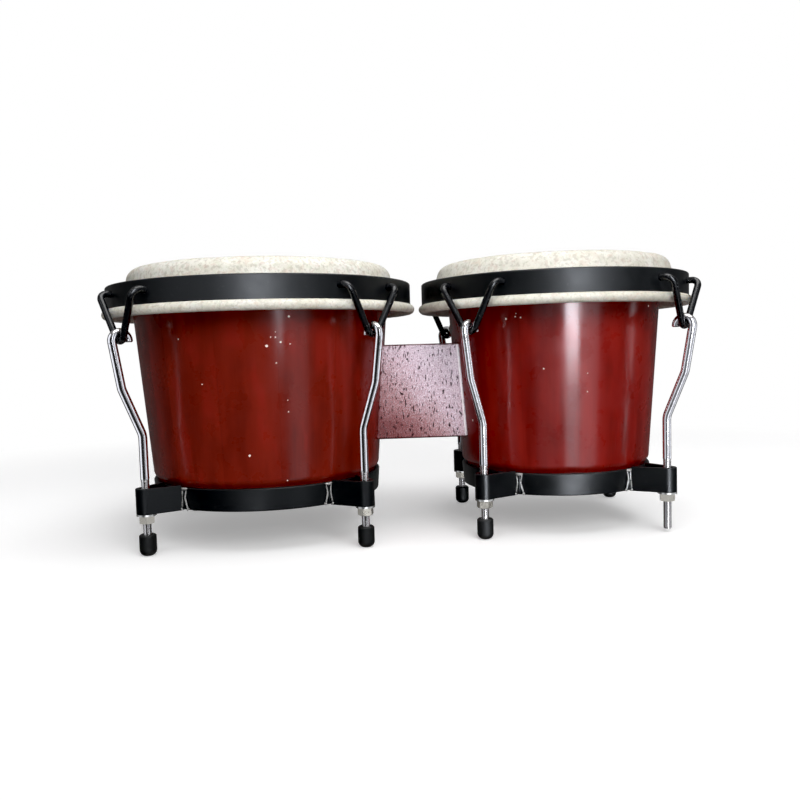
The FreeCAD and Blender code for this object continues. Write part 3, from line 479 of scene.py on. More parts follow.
def rawhide(name, side):
    """Natural skin: cloudy cream with faint veins and follicles, yellower where it is stretched thin."""
    g = Graph(name)
    x, y, z = g.sep(g.obj)
    dx = g.math("SUBTRACT", x, AXIS[side] * MM)
    rad = g.math("SQRT", g.math("ADD", g.math("MULTIPLY", dx, dx), g.math("MULTIPLY", y, y)))
    shift = g.vmath("ADD", g.obj, (0.7, 0.2, 0.4) if side == "large" else (2.1, 1.4, 0.9))
    cloud = g.noise(shift, 22.0, 5.0, 0.62, 0.4)
    mott = g.noise(shift, 130.0, 4.0, 0.6, 0.3)
    fine = g.noise(shift, 700.0, 3.0, 0.6)
    vein = g.step(g.math("ABSOLUTE", g.math("SUBTRACT", g.noise(shift, 14.0, 3.0, 0.55, 1.3), 0.5)), 0.0, 0.012)
    hair = g.step(g.voronoi(shift, 760.0), 0.10, 0.22)
    pebble = g.noise(shift, 430.0, 2.0, 0.5)
    pink = g.noise(shift, 300.0, 2.0, 0.5)
    col = g.ramp(cloud, (0.28, srgb(216, 211, 196)), (0.46, srgb(230, 227, 216)), (0.60, srgb(238, 236, 228)), (0.75, srgb(244, 243, 238)))
    col = g.mix(g.math("MULTIPLY", g.step(mott, 0.44, 0.62), 0.32), col, srgb(196, 190, 172))
    col = g.mix(g.math("MULTIPLY", g.step(fine, 0.50, 0.72), 0.14), col, srgb(176, 168, 148))
    col = g.mix(g.math("MULTIPLY", g.step(pebble, 0.50, 0.64), 0.42), col, srgb(170, 163, 148))
    col = g.mix(g.math("MULTIPLY", g.step(pink, 0.56, 0.66), 0.30), col, srgb(206, 178, 164))
    col = g.mix(g.math("MULTIPLY", g.math("SUBTRACT", 1.0, g.step(pink, 0.36, 0.44)), 0.22), col, srgb(190, 198, 172))
    col = g.mix(g.math("MULTIPLY", g.math("SUBTRACT", 1.0, vein), 0.14), col, srgb(168, 142, 110))
    col = g.mix(g.math("MULTIPLY", g.math("SUBTRACT", 1.0, hair), 0.30), col, srgb(150, 132, 104))
    # painted shade: the small drum's skin is a darker copy, toned down because its lights fall on it more brightly
    if side == "small":
        col = g.mix(0.15, col, srgb(150, 147, 138))
    # played centre is a little greyer; the collar and its roll are a little yellower, and darker along the bumped folds
    played = g.math("MULTIPLY", g.math("SUBTRACT", 1.0, g.step(rad, 0.020, 0.070)), g.step(z, 0.2025, 0.2030))
    col = g.mix(g.math("MULTIPLY", played, 0.16), col, srgb(190, 180, 160))
    low = g.math("SUBTRACT", 1.0, g.step(z, 0.172, 0.196))
    col = g.mix(g.math("MULTIPLY", low, 0.22), col, srgb(222, 219, 204))
    ux = g.math("DIVIDE", dx, rad)
    uy = g.math("DIVIDE", y, rad)
    fold = g.noise(g.comb(g.math("MULTIPLY", ux, 0.11), g.math("MULTIPLY", uy, 0.11), g.math("MULTIPLY", z, 0.25)), 210.0, 3.0, 0.6)
    col = g.mix(g.math("MULTIPLY", g.math("MULTIPLY", low, g.step(fold, 0.50, 0.68)), 0.16), col, srgb(168, 158, 140))
    height = g.math("ADD", g.math("MULTIPLY", fine, 0.35), g.math("ADD", g.math("MULTIPLY", mott, 0.7), g.math("MULTIPLY", hair, 0.25)))
    height = g.math("ADD", height, g.math("MULTIPLY", g.math("MULTIPLY", fold, low), 1.2))
    rough = g.range(mott, 0.3, 0.7, 0.42, 0.62)
    g.principled(Base_Color=col, Roughness=rough, Specular_IOR_Level=0.42, Normal=g.bump(height, 0.00022, 0.55),
                 Subsurface_Weight=0.12, Subsurface_Radius=(0.0024, 0.0016, 0.0009), Subsurface_Scale=1.0)
    return g.m


def powder_black(name, tint=(15, 17, 19), rough=(0.34, 0.46), gloss=0.5, wear=0.5):
    """Black powder coat: fine orange peel, dust, and thin wear along its edges."""
    g = Graph(name)
    peel = g.noise(g.obj, 900.0, 2.0, 0.5)
    soft = g.noise(g.obj, 42.0, 3.0, 0.55)
    col = g.mix(soft, srgb(*tint), srgb(*(v + 9 for v in tint)))
    dust = g.step(g.noise(g.obj, 240.0, 4.0, 0.7), 0.60, 0.80)
    col = g.mix(g.math("MULTIPLY", dust, 0.16), col, srgb(92, 92, 92))
    e = g.math("MULTIPLY", g.edge(0.0007), g.step(g.noise(g.obj, 170.0, 4.0, 0.65), 0.52, 0.66))
    col = g.mix(g.math("MULTIPLY", e, wear), col, srgb(118, 116, 114))
    r = g.range(g.noise(g.obj, 80.0, 4.0, 0.6), 0.3, 0.7, rough[0], rough[1])
    g.principled(Base_Color=col, Roughness=r, Specular_IOR_Level=gloss, Metallic=g.math("MULTIPLY", e, 0.5 * wear),
                 Normal=g.bump(peel, 0.00007, 0.5))
    return g.m


def black_wire(name):
    """Round bent wire, dipped black, rubbed through where the rod bears on its toe."""
    g = Graph(name)
    z = g.sep(g.obj)[2]
    fine = g.noise(g.obj, 1300.0, 2.0, 0.5)
    soft = g.noise(g.obj, 90.0, 3.0, 0.6)
    rub = g.math("MULTIPLY", g.math("SUBTRACT", 1.0, g.step(z, 0.1485, 0.1535)), g.step(g.noise(g.obj, 420.0, 4.0, 0.65), 0.50, 0.60))
    col = g.mix(soft, srgb(13, 14, 16), srgb(27, 28, 31))
    col = g.mix(g.math("MULTIPLY", rub, 0.6), col, srgb(120, 118, 116))
    fleck = g.step(g.noise(g.obj, 520.0, 3.0, 0.7), 0.63, 0.74)
    col = g.mix(g.math("MULTIPLY", fleck, 0.50), col, srgb(150, 150, 152))
    g.principled(Base_Color=col, Roughness=g.range(soft, 0.3, 0.7, 0.16, 0.28), Specular_IOR_Level=0.62,
                 Metallic=g.math("MULTIPLY", rub, 0.6), Normal=g.bump(g.math("ADD", fine, soft), 0.00008, 0.5))
    return g.m


def rod_chrome(name):
    """Bright plated bar: long draw marks, small pits and clouding where it was bent."""
    g = Graph(name)
    z = g.sep(g.obj)[2]
    draw = g.noise(g.scale(g.obj, 1.0, 1.0, 0.05), 2600.0, 3.0, 0.6)
    lump = g.noise(g.scale(g.obj, 1.0, 1.0, 0.35), 210.0, 3.0, 0.55)
    bent = g.math("MAXIMUM", g.step(z, 0.128, 0.150), g.math("MULTIPLY", 0.5, g.math("SUBTRACT", 1.0, g.step(g.math("ABSOLUTE", g.math("SUBTRACT", z, 0.100)), 0.012, 0.030))))
    pit = g.step(g.noise(g.scale(g.obj, 1.0, 1.0, 0.4), 950.0, 2.0, 0.5), 0.63, 0.70)
    cloud = g.noise(g.obj, 320.0, 4.0, 0.65)
    thread = g.math("SUBTRACT", 1.0, g.step(z, 0.0535, 0.0545))
    col = g.mix(g.math("MULTIPLY", pit, 0.35), srgb(218, 215, 216), srgb(70, 66, 66))
    col = g.mix(g.math("MULTIPLY", g.math("MULTIPLY", g.step(cloud, 0.50, 0.62), bent), 0.55), col, srgb(120, 112, 108))
    col = g.mix(g.math("MULTIPLY", thread, 0.30), col, srgb(172, 168, 160))
    rough = g.math("ADD", g.range(cloud, 0.3, 0.7, 0.04, 0.11), g.math("ADD", g.math("MULTIPLY", bent, 0.06), g.math("MULTIPLY", thread, 0.12)))
    h = g.math("ADD", g.math("MULTIPLY", lump, 0.8), g.math("ADD", g.math("MULTIPLY", draw, 0.10), g.math("MULTIPLY", pit, -0.2)))
    h = g.math("ADD", h, g.math("MULTIPLY", g.math("MULTIPLY", cloud, bent), 0.6))
    g.principled(Base_Color=col, Metallic=1.0, Roughness=rough, Normal=g.bump(h, 0.00010, 0.5))
    return g.m


def plated(name, a, b, dark, rough=(0.22, 0.38)):
    """Nickel or zinc plated fastener with machining lines and dull corners."""
    g = Graph(name)
    cloud = g.noise(g.obj, 260.0, 4.0, 0.6)
    lines = g.noise(g.scale(g.obj, 0.4, 0.4, 3.0), 1500.0, 2.0, 0.5)
    spot = g.step(g.noise(g.obj, 620.0, 3.0, 0.6), 0.60, 0.72)
    col = g.mix(cloud, a, b)
    col = g.mix(g.math("MULTIPLY", spot, 0.14), col, dark)
    e = g.edge(0.0006)
    col = g.mix(g.math("MULTIPLY", e, 0.5), col, srgb(232, 226, 214))
    g.principled(Base_Color=col, Metallic=1.0, Roughness=g.range(cloud, 0.3, 0.7, *rough),
                 Normal=g.bump(g.math("ADD", lines, cloud), 0.00006, 0.5))
    return g.m


def weld_silver(name):
    """Bare, spattered weld metal brushed with bright paint."""
    g = Graph(name)
    lump = g.noise(g.obj, 620.0, 4.0, 0.65)
    col = g.mix(lump, srgb(168, 166, 164), srgb(240, 240, 238))
    col = g.mix(g.math("MULTIPLY", g.step(g.noise(g.obj, 1100.0, 3.0, 0.6), 0.56, 0.68), 0.7), col, srgb(60, 58, 58))
    g.principled(Base_Color=col, Metallic=0.35, Roughness=g.range(lump, 0.3, 0.7, 0.28, 0.5), Normal=g.bump(lump, 0.0003, 0.7))
    return g.m


def tip_rubber(name):
    """Moulded black rubber with a soft bloom and scuffed foot."""
    g = Graph(name)
    z = g.sep(g.obj)[2]
    fine = g.noise(g.obj, 1500.0, 3.0, 0.6)
    soft = g.noise(g.obj, 210.0, 4.0, 0.6)
    scuff = g.math("MULTIPLY", g.math("SUBTRACT", 1.0, g.step(z, 0.0004, 0.0050)), g.step(soft, 0.42, 0.60))
    col = g.mix(soft, srgb(17, 18, 18), srgb(36, 37, 37))
    col = g.mix(g.math("MULTIPLY", scuff, 0.45), col, srgb(88, 85, 80))
    ring = g.math("SINE", g.math("MULTIPLY", z, 5200.0))
    g.principled(Base_Color=col, Roughness=g.range(soft, 0.3, 0.7, 0.44, 0.62), Specular_IOR_Level=0.5,
                 Normal=g.bump(g.math("ADD", fine, g.math("MULTIPLY", ring, 0.06)), 0.00010, 0.5))
    return g.m


MATS = {
    "shell_large": lacquered_wood("lacquered_wood_large", "large", srgb(121, 31, 20), srgb(154, 44, 29)),
    "shell_small": lacquered_wood("lacquered_wood_small", "small", srgb(128, 20, 14), srgb(168, 38, 31)),
    "block_wood": block_wood("block_wood_open_grain"),
    "skin_large": rawhide("rawhide_large", "large"),
    "skin_small": rawhide("rawhide_small", "small"),
    "black_steel": powder_black("black_powder_coat"),
    "black_wire": black_wire("black_claw_wire"),
    "hoop_steel": plated("hoop_steel_wire", srgb(150, 146, 140), srgb(188, 184, 176), srgb(84, 70, 58), (0.35, 0.5)),
    "rod_chrome": rod_chrome("plated_rod"),
    "nut_steel": plated("nickel_plate", srgb(176, 168, 154), srgb(214, 208, 196), srgb(104, 88, 70)),
    "bolt_steel": plated("zinc_plate", srgb(170, 168, 166), srgb(216, 214, 210), srgb(96, 88, 78), (0.22, 0.36)),
    "weld_silver": weld_silver("weld_metal"),
    "tip_rubber": tip_rubber("moulded_rubber"),
}


def paint(obj, mat):
    obj.data.materials.clear()
    obj.data.materials.append(mat)


# ------------------------------------------------------------------ CAD nodes that stay, and refined copies with soft edges
def refine(node, mat, width, segments=2, limit=28.0, max_len=None):
    """A new piece from a CAD node's mesh: welded, its hard edges broken by a small round, shaded by face size."""
    src = NODES[node]
    bm = bmesh.new()
    bm.from_mesh(src.data)
    bmesh.ops.remove_doubles(bm, verts=bm.verts, dist=2e-6)
    bmesh.ops.dissolve_degenerate(bm, dist=1e-6, edges=bm.edges)
    flat = [e for e in bm.edges if len(e.link_faces) == 2 and e.calc_face_angle(0) < math.radians(0.05)]
    bmesh.ops.dissolve_edges(bm, edges=flat, use_verts=False, use_face_split=False)
    sharp = [e for e in bm.edges if len(e.link_faces) == 2 and e.calc_face_angle(0) > math.radians(limit)]
    bmesh.ops.bevel(bm, geom=sharp, offset=width * MM, offset_type="OFFSET", segments=segments, profile=0.5,
                    affect="EDGES", clamp_overlap=True, miter_outer="SHARP")
    bmesh.ops.remove_doubles(bm, verts=bm.verts, dist=2e-6)
    bmesh.ops.triangulate(bm, faces=[f for f in bm.faces if len(f.verts) > 4], quad_method="BEAUTY", ngon_method="BEAUTY")
    bmesh.ops.recalc_face_normals(bm, faces=bm.faces)
    me = bpy.data.meshes.new(node + "_refined")
    bm.to_mesh(me)
    bm.free()
    me.polygons.foreach_set("use_smooth", [True] * len(me.polygons))
    me.update()
    o = bpy.data.objects.new(node + "_refined", me)
    SCENE.collection.objects.link(o)
    w = o.modifiers.new("face_weighted", "WEIGHTED_NORMAL")
    w.weight = 50
    w.keep_sharp = False
    paint(o, mat)
    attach(o, BODY_OF[node])
    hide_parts(node)
    return o


for node, obj in NODES.items():
    kind = node.split("_")[0]
    key = {"flesh": "hoop_steel", "rim": "black_steel", "bottom": "black_steel", "washers": "bolt_steel", "bracket": "black_steel",
           "claw": "black_wire", "rod": "rod_chrome", "nut": "nut_steel", "tip": "tip_rubber", "centre": "block_wood", "block": "bolt_steel"}.get(kind)
    if kind == "shell":
        paint(obj, MATS[node])
    elif kind == "head":
        paint(obj, MATS["skin_" + node.split("_")[1]])
    else:
        paint(obj, MATS[key])

for side in SIDES:
    refine("rim_" + side, MATS["black_steel"], 0.7, 3)
    refine("bottom_ring_" + side, MATS["black_steel"], 0.5, 2)
    for where in LUGS:
        refine("bracket_%s_%s" % (side, where), MATS["black_steel"], 0.5, 3)


# ------------------------------------------------------------------ skins
def skin_outline(side):
    """The sheet's outer face then its inner face, as one closed profile from axis to axis."""
    top, thick = SKIN_TOP, 1.1
    hx, hz = HOOP_R[side], HOOP_Z[side]
    bore, outer = 2.4, 3.5
    edge = ({"large": 99.4, "small": 88.2}[side], top)
    waist = ({"large": 102.0, "small": 92.9}[side], 188.0)
    wx, wz = hx - waist[0], hz - waist[1]
    dist = math.hypot(wx, wz)
    ang = math.atan2(wz, wx) - math.asin(bore / dist)
    ux, uz = math.cos(ang), math.sin(ang)
    start = math.atan2(-ux, uz)
    touch = (hx + bore * math.cos(start), hz + bore * math.sin(start))
    upper = [(0.0, top), edge, waist, touch]

    def shifted(pts, gap):
        lines = []
        for a, b in zip(pts[:-1], pts[1:]):
            d = np.array(b) - np.array(a)
            d /= np.linalg.norm(d)
            off = np.array((d[1], -d[0])) * gap
            lines.append((np.array(a) + off, d, np.array(b) + off))
        out = [lines[0][0]]
        for (p, u, _), (q, w, _) in zip(lines[:-1], lines[1:]):
            det = u[0] * w[1] - u[1] * w[0]
            s = ((q[0] - p[0]) * w[1] - (q[1] - p[1]) * w[0]) / det
            out.append(p + u * s)
        out.append(lines[-1][2])
        return out

    up = fillet(upper, [9.0, 12.0], 1.2)
    low = fillet(shifted(upper, thick), [9.0 - thick, 12.0 + thick], 2.0)
    turn = math.radians(290.0)

    def on(r, a):
        return (hx + r * math.cos(a), hz + r * math.sin(a))

    wrap_in = np.array([on(bore, start + turn * i / 40) for i in range(1, 41)])
    lip_r = (outer - bore) / 2
    end = start + turn
    c = np.array(on((bore + outer) / 2, end))
    er = np.array((math.cos(end), math.sin(end)))
    et = np.array((-math.sin(end), math.cos(end)))
    lip = np.array([c + lip_r * 0.9 * (-er * math.cos(t) + et * math.sin(t) * 0.6) for t in np.linspace(0.25, math.pi - 0.25, 6)])
    wrap_out = np.array([on(outer, start + turn * i / 56) for i in range(56, 0, -1)])
    pts = np.concatenate([up[1:], wrap_in, lip, wrap_out, low[::-1][:-1]])
    kinds = np.concatenate([np.zeros(len(up) - 1), np.ones(len(wrap_in) + len(lip)), np.full(len(wrap_out), 2), np.full(len(low) - 1, 3)])
    return pts, kinds.astype(int), (up[0], low[0])


def build_skin(side):
    pts, kinds, (top_pole, low_pole) = skin_outline(side)
    seg = 300
    th = np.linspace(0, 2 * math.pi, seg, endpoint=False)
    d = np.gradient(pts, axis=0)
    nrm = np.stack([-d[:, 1], d[:, 0]], 1)
    nrm /= np.linalg.norm(nrm, axis=1)[:, None]      # points out of the sheet's outer face
    cx = AXIS[side]
    seed = 3.1 if side == "large" else 17.9
    verts = []
    hz = HOOP_Z[side]
    for i, (r, z) in enumerate(pts):
        nr, nz = nrm[i]
        for a in th:
            ca, sa = math.cos(a), math.sin(a)
            x, y = r * ca, r * sa
            lift = 0.0
            if kinds[i] == 0:
                calm = min(1.0, max(0.0, (z - 172.0) / 8.0))
                lift = 0.16 * n3(x * 0.035 + seed, y * 0.035, z * 0.03) + 0.07 * n3(x * 0.14 + seed, y * 0.14, z * 0.14)
                if z < SKIN_TOP - 1.0:       # soft pulls where the sheet is drawn over the bearing edge and down
                    fade = min(1.0, (SKIN_TOP - 1.0 - z) / 6.0)
                    lift += fade * (0.22 * n3(ca * 9.0 + seed, sa * 9.0, z * 0.02) + 0.10 * n3(ca * 26.0 + seed, sa * 26.0, z * 0.05))
                lift = max(-0.35, min(0.35, lift)) * calm
            elif kinds[i] == 2:              # puckers and lumps on the rolled collar, flat where the rim bears on it
                seat = 1.0 - min(1.0, max(0.0, (z - hz - 1.2) / 1.6))
                lift = 0.16 * n3(ca * 11.0 + seed, sa * 11.0, z * 0.10) + 0.16 * abs(n3(ca * 34.0 + seed, sa * 34.0, z * 0.22)) - 0.05
                lift = max(-0.18, min(0.30, lift)) * seat
                nr, nz = (r - HOOP_R[side]) / 3.5, (z - hz) / 3.5
            verts.append(((cx + (r + nr * lift) * ca) * MM, (r + nr * lift) * sa * MM, (z + nz * lift) * MM))
    faces = [(a, d_, c, b) for a, b, c, d_ in grid_faces(len(pts), seg)]
    t, l = len(verts), len(verts) + 1
    verts.append((cx * MM, 0.0, top_pole[1] * MM))
    verts.append((cx * MM, 0.0, low_pole[1] * MM))
    last = (len(pts) - 1) * seg
    for j in range(seg):
        k = (j + 1) % seg
        faces.append((j, k, t))
        faces.append((last + k, last + j, l))
    o = make("skin_" + side, verts, faces)
    bm = bmesh.new()
    bm.from_mesh(o.data)
    bmesh.ops.recalc_face_normals(bm, faces=bm.faces)
    bm.to_mesh(o.data)
    bm.free()
    paint(o, MATS["skin_" + side])
    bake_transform(o)
    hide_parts("head_" + side)
    return o


for side in SIDES:
    build_skin(side)


# ------------------------------------------------------------------ tension rods with rolled threads
PITCH, THREAD_TOP, THREAD_DEPTH = 1.0, 54.0, 0.52


def rod_path(side):
    x0, z0 = ROD_R[side], ROD_FOOT
    x1, za, zb = x0 + 13.6, 84.5, 117.0
    cx, cz, cr = RIM_R[side] + 4.5, 149.4, 5.9
    dist = math.hypot(cx - x1, cz - zb)
    lean = math.atan2(cx - x1, cz - zb) + math.asin(cr / dist)
    peak = x1 + math.tan(lean) * (cz + cr - zb)
    pts = [(x0, 0, z0), (x0, 0, za), (x1, 0, zb), (peak, 0, cz + cr), (cx - cr, 0, cz + cr), (cx - cr, 0, cz - 0.8)]
    smooth = fillet(pts, [14.0, 14.0, cr, cr], 1.6)
    keep = smooth[smooth[:, 2] > THREAD_TOP + 1.2]
    upto = keep[0][2]
    fine = np.arange(z0, upto - 0.3, PITCH / 8)
    low = np.stack([np.full(len(fine), x0), np.zeros(len(fine)), fine], 1)
    tail = keep[-1]
    extra = np.array([tail + (0, 0, 0.7), tail + (0, 0, 0.35)])
    return np.concatenate([low, keep[:-1][keep[:-1][:, 2] > 0], extra[extra[:, 2] < keep[-2][2]], keep[-1:]])


def build_rod(side, where):
    path = rod_path(side)
    z0 = path[0][2]
    seg = 32
    seed = hash01(LUGS[where], AXIS[side])
    length = np.concatenate([[0], np.cumsum(np.linalg.norm(np.diff(path, axis=0), axis=1))])
    total = length[-1]

    def radius(i, th):
        z, s = path[i][2], length[i]
        r = np.full(len(th), 3.0)
        if s < THREAD_TOP - z0 + 1.0:
            run_out = min(1.0, max(0.0, (THREAD_TOP - z0 - s) / 1.5))
            saw = np.abs((((s / PITCH) - th / (2 * math.pi) + seed) % 1.0) * 2 - 1)
            form = np.clip((saw - 0.12) / 0.72, 0, 1)
            r = r - THREAD_DEPTH * form * run_out
        end = min(s, total - s)
        if end < 0.7:
            r = np.minimum(r, 3.0 - 0.7 + end)
        return r

    verts, faces = bar(path, radius, seg)
    name = "rod_%s_%s" % (side, where)
    o = make(name + "_threaded", turned(verts, side, LUGS[where]), faces, BODY_OF[name], name)
    fix_normals(o)
    paint(o, MATS["rod_chrome"])
    return o


def fix_normals(o):
    bm = bmesh.new()
    bm.from_mesh(o.data)
    bmesh.ops.recalc_face_normals(bm, faces=bm.faces)
    bm.to_mesh(o.data)
    bm.free()


# ------------------------------------------------------------------ claw hooks
def claw_path(side):
    rim = RIM_R[side]
    span, top, toe_r, bend = 23.0, 182.7, 6.0, 5.6
    face = math.sqrt(rim * rim - span * span)
    inner, leg, catch, level = face - 4.4, rim + 6.5, rim + 4.5, 149.4
    tip = level
    for _ in range(30):
        half = math.atan2(span, top - tip)
        tip = level - toe_r * (1.0 / math.sin(half) - 1.0)
    toe = catch - (leg - catch) * (level - tip) / (top - level)
    pts = [(inner, span, top), (leg, span, top), (toe, 0, tip), (leg, -span, top), (inner, -span, top)]
    path = fillet(pts, [bend, toe_r, bend], 1.3)
    a, b = path[0], path[1]
    u = (b - a) / np.linalg.norm(b - a)
    heads = np.array([0.0, 0.25, 0.6, 1.0, 1.25, 1.5])
    near = a + u * heads[:, None]
    c, d = path[-1], path[-2]
    w = (d - c) / np.linalg.norm(d - c)
    far = (c + w * heads[:, None])[::-1]
    body = [p for p in path if np.linalg.norm(p - a) > 2.0 and np.linalg.norm(p - c) > 2.0]
    return np.concatenate([near, body, far])


def build_claw(side, where):
    path = claw_path(side)
    length = np.concatenate([[0], np.cumsum(np.linalg.norm(np.diff(path, axis=0), axis=1))])
    total = length[-1]
    seed = hash01(LUGS[where], AXIS[side]) * 40

    def radius(i, th):
        s = min(length[i], total - length[i])
        r = 2.4
        if s < 1.26:      # hammered head on the inside of the rim
            r = 3.15 - 0.75 * max(0.0, (0.30 - s) / 0.30) ** 2 * 1.6 if s < 1.05 else 2.9
        else:
            r = 2.4 + 0.035 * n3(length[i] * 0.22 + seed, 0.3, seed)
        return np.full(len(th), r)

    verts, faces = bar(path, radius, 28, up=(0, 0, 1))
    name = "claw_%s_%s" % (side, where)
    o = make(name + "_wire", turned(verts, side, LUGS[where]), faces, BODY_OF[name], name)
    fix_normals(o)
    paint(o, MATS["black_wire"])
    return o


for side in SIDES:
    for where in LUGS:
        build_rod(side, where)
        build_claw(side, where)


# ------------------------------------------------------------------ weld metal where the brackets meet the rings
def bead(path, width, seed, around=12):
    """A short lumpy run of weld metal."""
    path = np.array(path, float)
    n = 14
    t = np.linspace(0, 1, n)
    seglen = np.linspace(0, 1, len(path))
    p = np.stack([np.interp(t, seglen, path[:, k]) for k in range(3)], 1)

    def radius(i, th):
        s = t[i]
        plump = max(0.08, math.sin(math.pi * min(1.0, max(0.0, s * 0.96 + 0.02)))) ** 0.5
        return width * plump * (1 + 0.22 * np.array([n3(math.cos(a) + seed, math.sin(a), s * 5.0 + seed) for a in th]))

    return bar(p, radius, around, up=(0.31, 0.17, 0.93))


def build_welds(side):
    """Dark painted fillet down each seam with bright ground-off runs at its top, flanks and spread toes."""
    ring = RING_R[side]
    hi, lo = RING_HI - 0.3, BRACKET_LO + 0.9
    mid_z = (hi + lo) / 2
    for kind, mat, slot in (("fill", "black_steel", "black_steel"), ("beads", "weld_silver", "black_steel")):
        verts, faces, count = [], [], 0
        for where, turn in LUGS.items():
            for hand in (-1, 1):
                j = [hash01(turn, hand, k, AXIS[side]) - 0.5 for k in range(12)]

                def at(du, z, out=0.0):
                    t = (15.2 + du) * hand
                    return (math.sqrt(ring * ring - t * t) + out, t, z)

                if kind == "fill":
                    runs = [([at(0.0, hi - 0.4, 0.0), at(j[0] * 0.4, mid_z, 0.2), at(0.0, lo + 0.2, 0.0)], 1.35),
                            ([at(-1.2, lo + 2.2, 0.1), at(-2.4, lo + 0.3, -0.1)], 1.0),
                            ([at(1.2, lo + 2.2, 0.1), at(2.4, lo + 0.3, -0.1)], 1.0),
                            ([at(-2.2, hi - 0.5, -0.2), at(2.2, hi - 0.5, -0.2)], 0.8)]
                else:
                    runs = [([at(-2.8, hi - 0.1 + 0.3 * j[1], 0.1), at(-0.4, hi - 0.7, 0.5), at(2.6, hi - 0.2 + 0.3 * j[2], 0.1)], 1.00),
                            ([at(-2.0, hi - 1.0, 0.3), at(-1.1 + 0.3 * j[3], mid_z + 1.0, 0.75), at(-1.7, mid_z - 2.2, 0.6), at(-2.9 + 0.4 * j[4], lo + 0.5, 0.4)], 0.66),
                            ([at(1.9, hi - 1.2, 0.3), at(1.1 + 0.3 * j[5], mid_z + 0.6, 0.75), at(1.8, mid_z - 2.4, 0.6), at(3.1 + 0.4 * j[6], lo + 0.4, 0.4)], 0.68),
                            ([at(-3.3, lo + 0.1, 0.1), at(-2.2, lo + 0.9 + 0.3 * j[7], 0.5)], 1.15),
                            ([at(3.5, lo + 0.1, 0.1), at(2.4, lo + 1.0 + 0.3 * j[8], 0.5)], 1.15)]
                for path, width in runs:
                    v, f = bead(path, width, count * 1.37 + (0 if side == "large" else 50))
                    v = turned(v, side, turn)
                    faces += [tuple(i + len(verts) for i in q) for q in f]
                    verts += [tuple(p) for p in v]
                    count += 1
        o = make("weld_%s_%s" % (kind, side), verts, faces, "frame")
        fix_normals(o)
        paint(o, MATS[mat])


for side in SIDES:
    build_welds(side)


# ------------------------------------------------------------------ floor, light, camera
def floor():
    me = bpy.data.meshes.new("floor")
    n, size = 8, 6.0
    verts = [((i / n - 0.5) * size, (j / n - 0.5) * size, 0.0) for j in range(n + 1) for i in range(n + 1)]
    faces = [(j * (n + 1) + i, j * (n + 1) + i + 1, (j + 1) * (n + 1) + i + 1, (j + 1) * (n + 1) + i) for j in range(n) for i in range(n)]
    me.from_pydata(verts, [], faces)
    o = bpy.data.objects.new("floor", me)
    SCENE.collection.objects.link(o)
    g = Graph("pale_floor")
    lp = g.t.nodes.new("ShaderNodeLightPath")
    x, y, z = g.sep(g.obj)
    far = g.step(g.math("SQRT", g.math("ADD", g.math("MULTIPLY", x, x), g.math("MULTIPLY", y, y))), 0.45, 0.85)

    def diffuse(v):
        n_ = g.t.nodes.new("ShaderNodeBsdfDiffuse")
        if isinstance(v, bpy.types.NodeSocket):
            g.t.links.new(v, n_.inputs["Color"])
        else:
            n_.inputs["Color"].default_value = (v, v, v, 1)
        return n_.outputs[0]

    def glow(v):
        n_ = g.t.nodes.new("ShaderNodeEmission")
        if isinstance(v, bpy.types.NodeSocket):
            g.t.links.new(v, n_.inputs["Strength"])
        else:
            n_.inputs["Strength"].default_value = v
        return n_.outputs[0]

    def blend(f, a, b):
        n_ = g.t.nodes.new("ShaderNodeMixShader")
        g.put(n_.inputs[0], f)
        g.t.links.new(a, n_.inputs[1])
        g.t.links.new(b, n_.inputs[2])
        return n_.outputs[0]

    lifted = g.t.nodes.new("ShaderNodeAddShader")
    g.t.links.new(diffuse(FLOOR_SEEN), lifted.inputs[0])
    g.t.links.new(glow(FLOOR_LIFT), lifted.inputs[1])
    seen = blend(far, lifted.outputs[0], glow(1.0))
    # mirrors look through the floor to the panels' lower halves, as if they stood on a gloss sweep
    rest = diffuse(0.26)
    near = g.math("SUBTRACT", 1.0, g.step(y, -0.155, -0.055))
    seen = blend(g.math("MULTIPLY", near, 0.85), seen, glow(1.0))
    final = blend(lp.outputs["Is Camera Ray"], rest, seen)
    g.t.links.new(final, g.out.inputs["Surface"])
    me.materials.append(g.m)
    o.visible_glossy = False


def softbox(name, azimuth, elevation, distance, width, height, radiance, aim=(0.0, 0.0, 0.11), spread=180.0):
    """A rectangular studio light; azimuth 0 stands in front of the drums and 90 to their right."""
    a, e = math.radians(azimuth), math.radians(elevation)
    back = Vector((math.sin(a) * math.cos(e), -math.cos(a) * math.cos(e), math.sin(e)))
    d = bpy.data.lights.new(name, "AREA")
    d.shape, d.size, d.size_y = "RECTANGLE", width, height
    d.energy = radiance * math.pi * width * height
    d.spread = math.radians(spread)
    o = bpy.data.objects.new(name, d)
    o.location = Vector(aim) + back * distance
    o.rotation_mode = "QUATERNION"
    o.rotation_quaternion = (-back).to_track_quat("-Z", "Y")
    SCENE.collection.objects.link(o)
    return o


FLOOR_SEEN, FLOOR_LIFT = 0.86, 0.33
floor()


def lit_only(light, name, nodes):
    """Studio light that falls on one group of pieces."""
    group = bpy.data.collections.new(name)
    for o in nodes:
        group.objects.link(o)
    light.light_linking.receiver_collection = group
    return light


def panel(name, place, width, low, high, radiance, toward, spread=180.0):
    """Upright strip light seen only in reflections; place and toward are x, y in metres."""
    px, py = place
    tx, ty = toward
    d = Vector((px - tx, py - ty, 0.0))
    az = math.degrees(math.atan2(d.x, -d.y))
    o = softbox(name, az, 0.0, d.length, width, high - low, radiance, aim=(tx, ty, (low + high) / 2), spread=spread)
    o.visible_diffuse = False
    o.data.color = (0.94, 0.99, 1.07)
    return o


def side_of(obj):
    name = obj.name
    if "_large" in name:
        return "large"
    if "_small" in name:
        return "small"
    return "block"


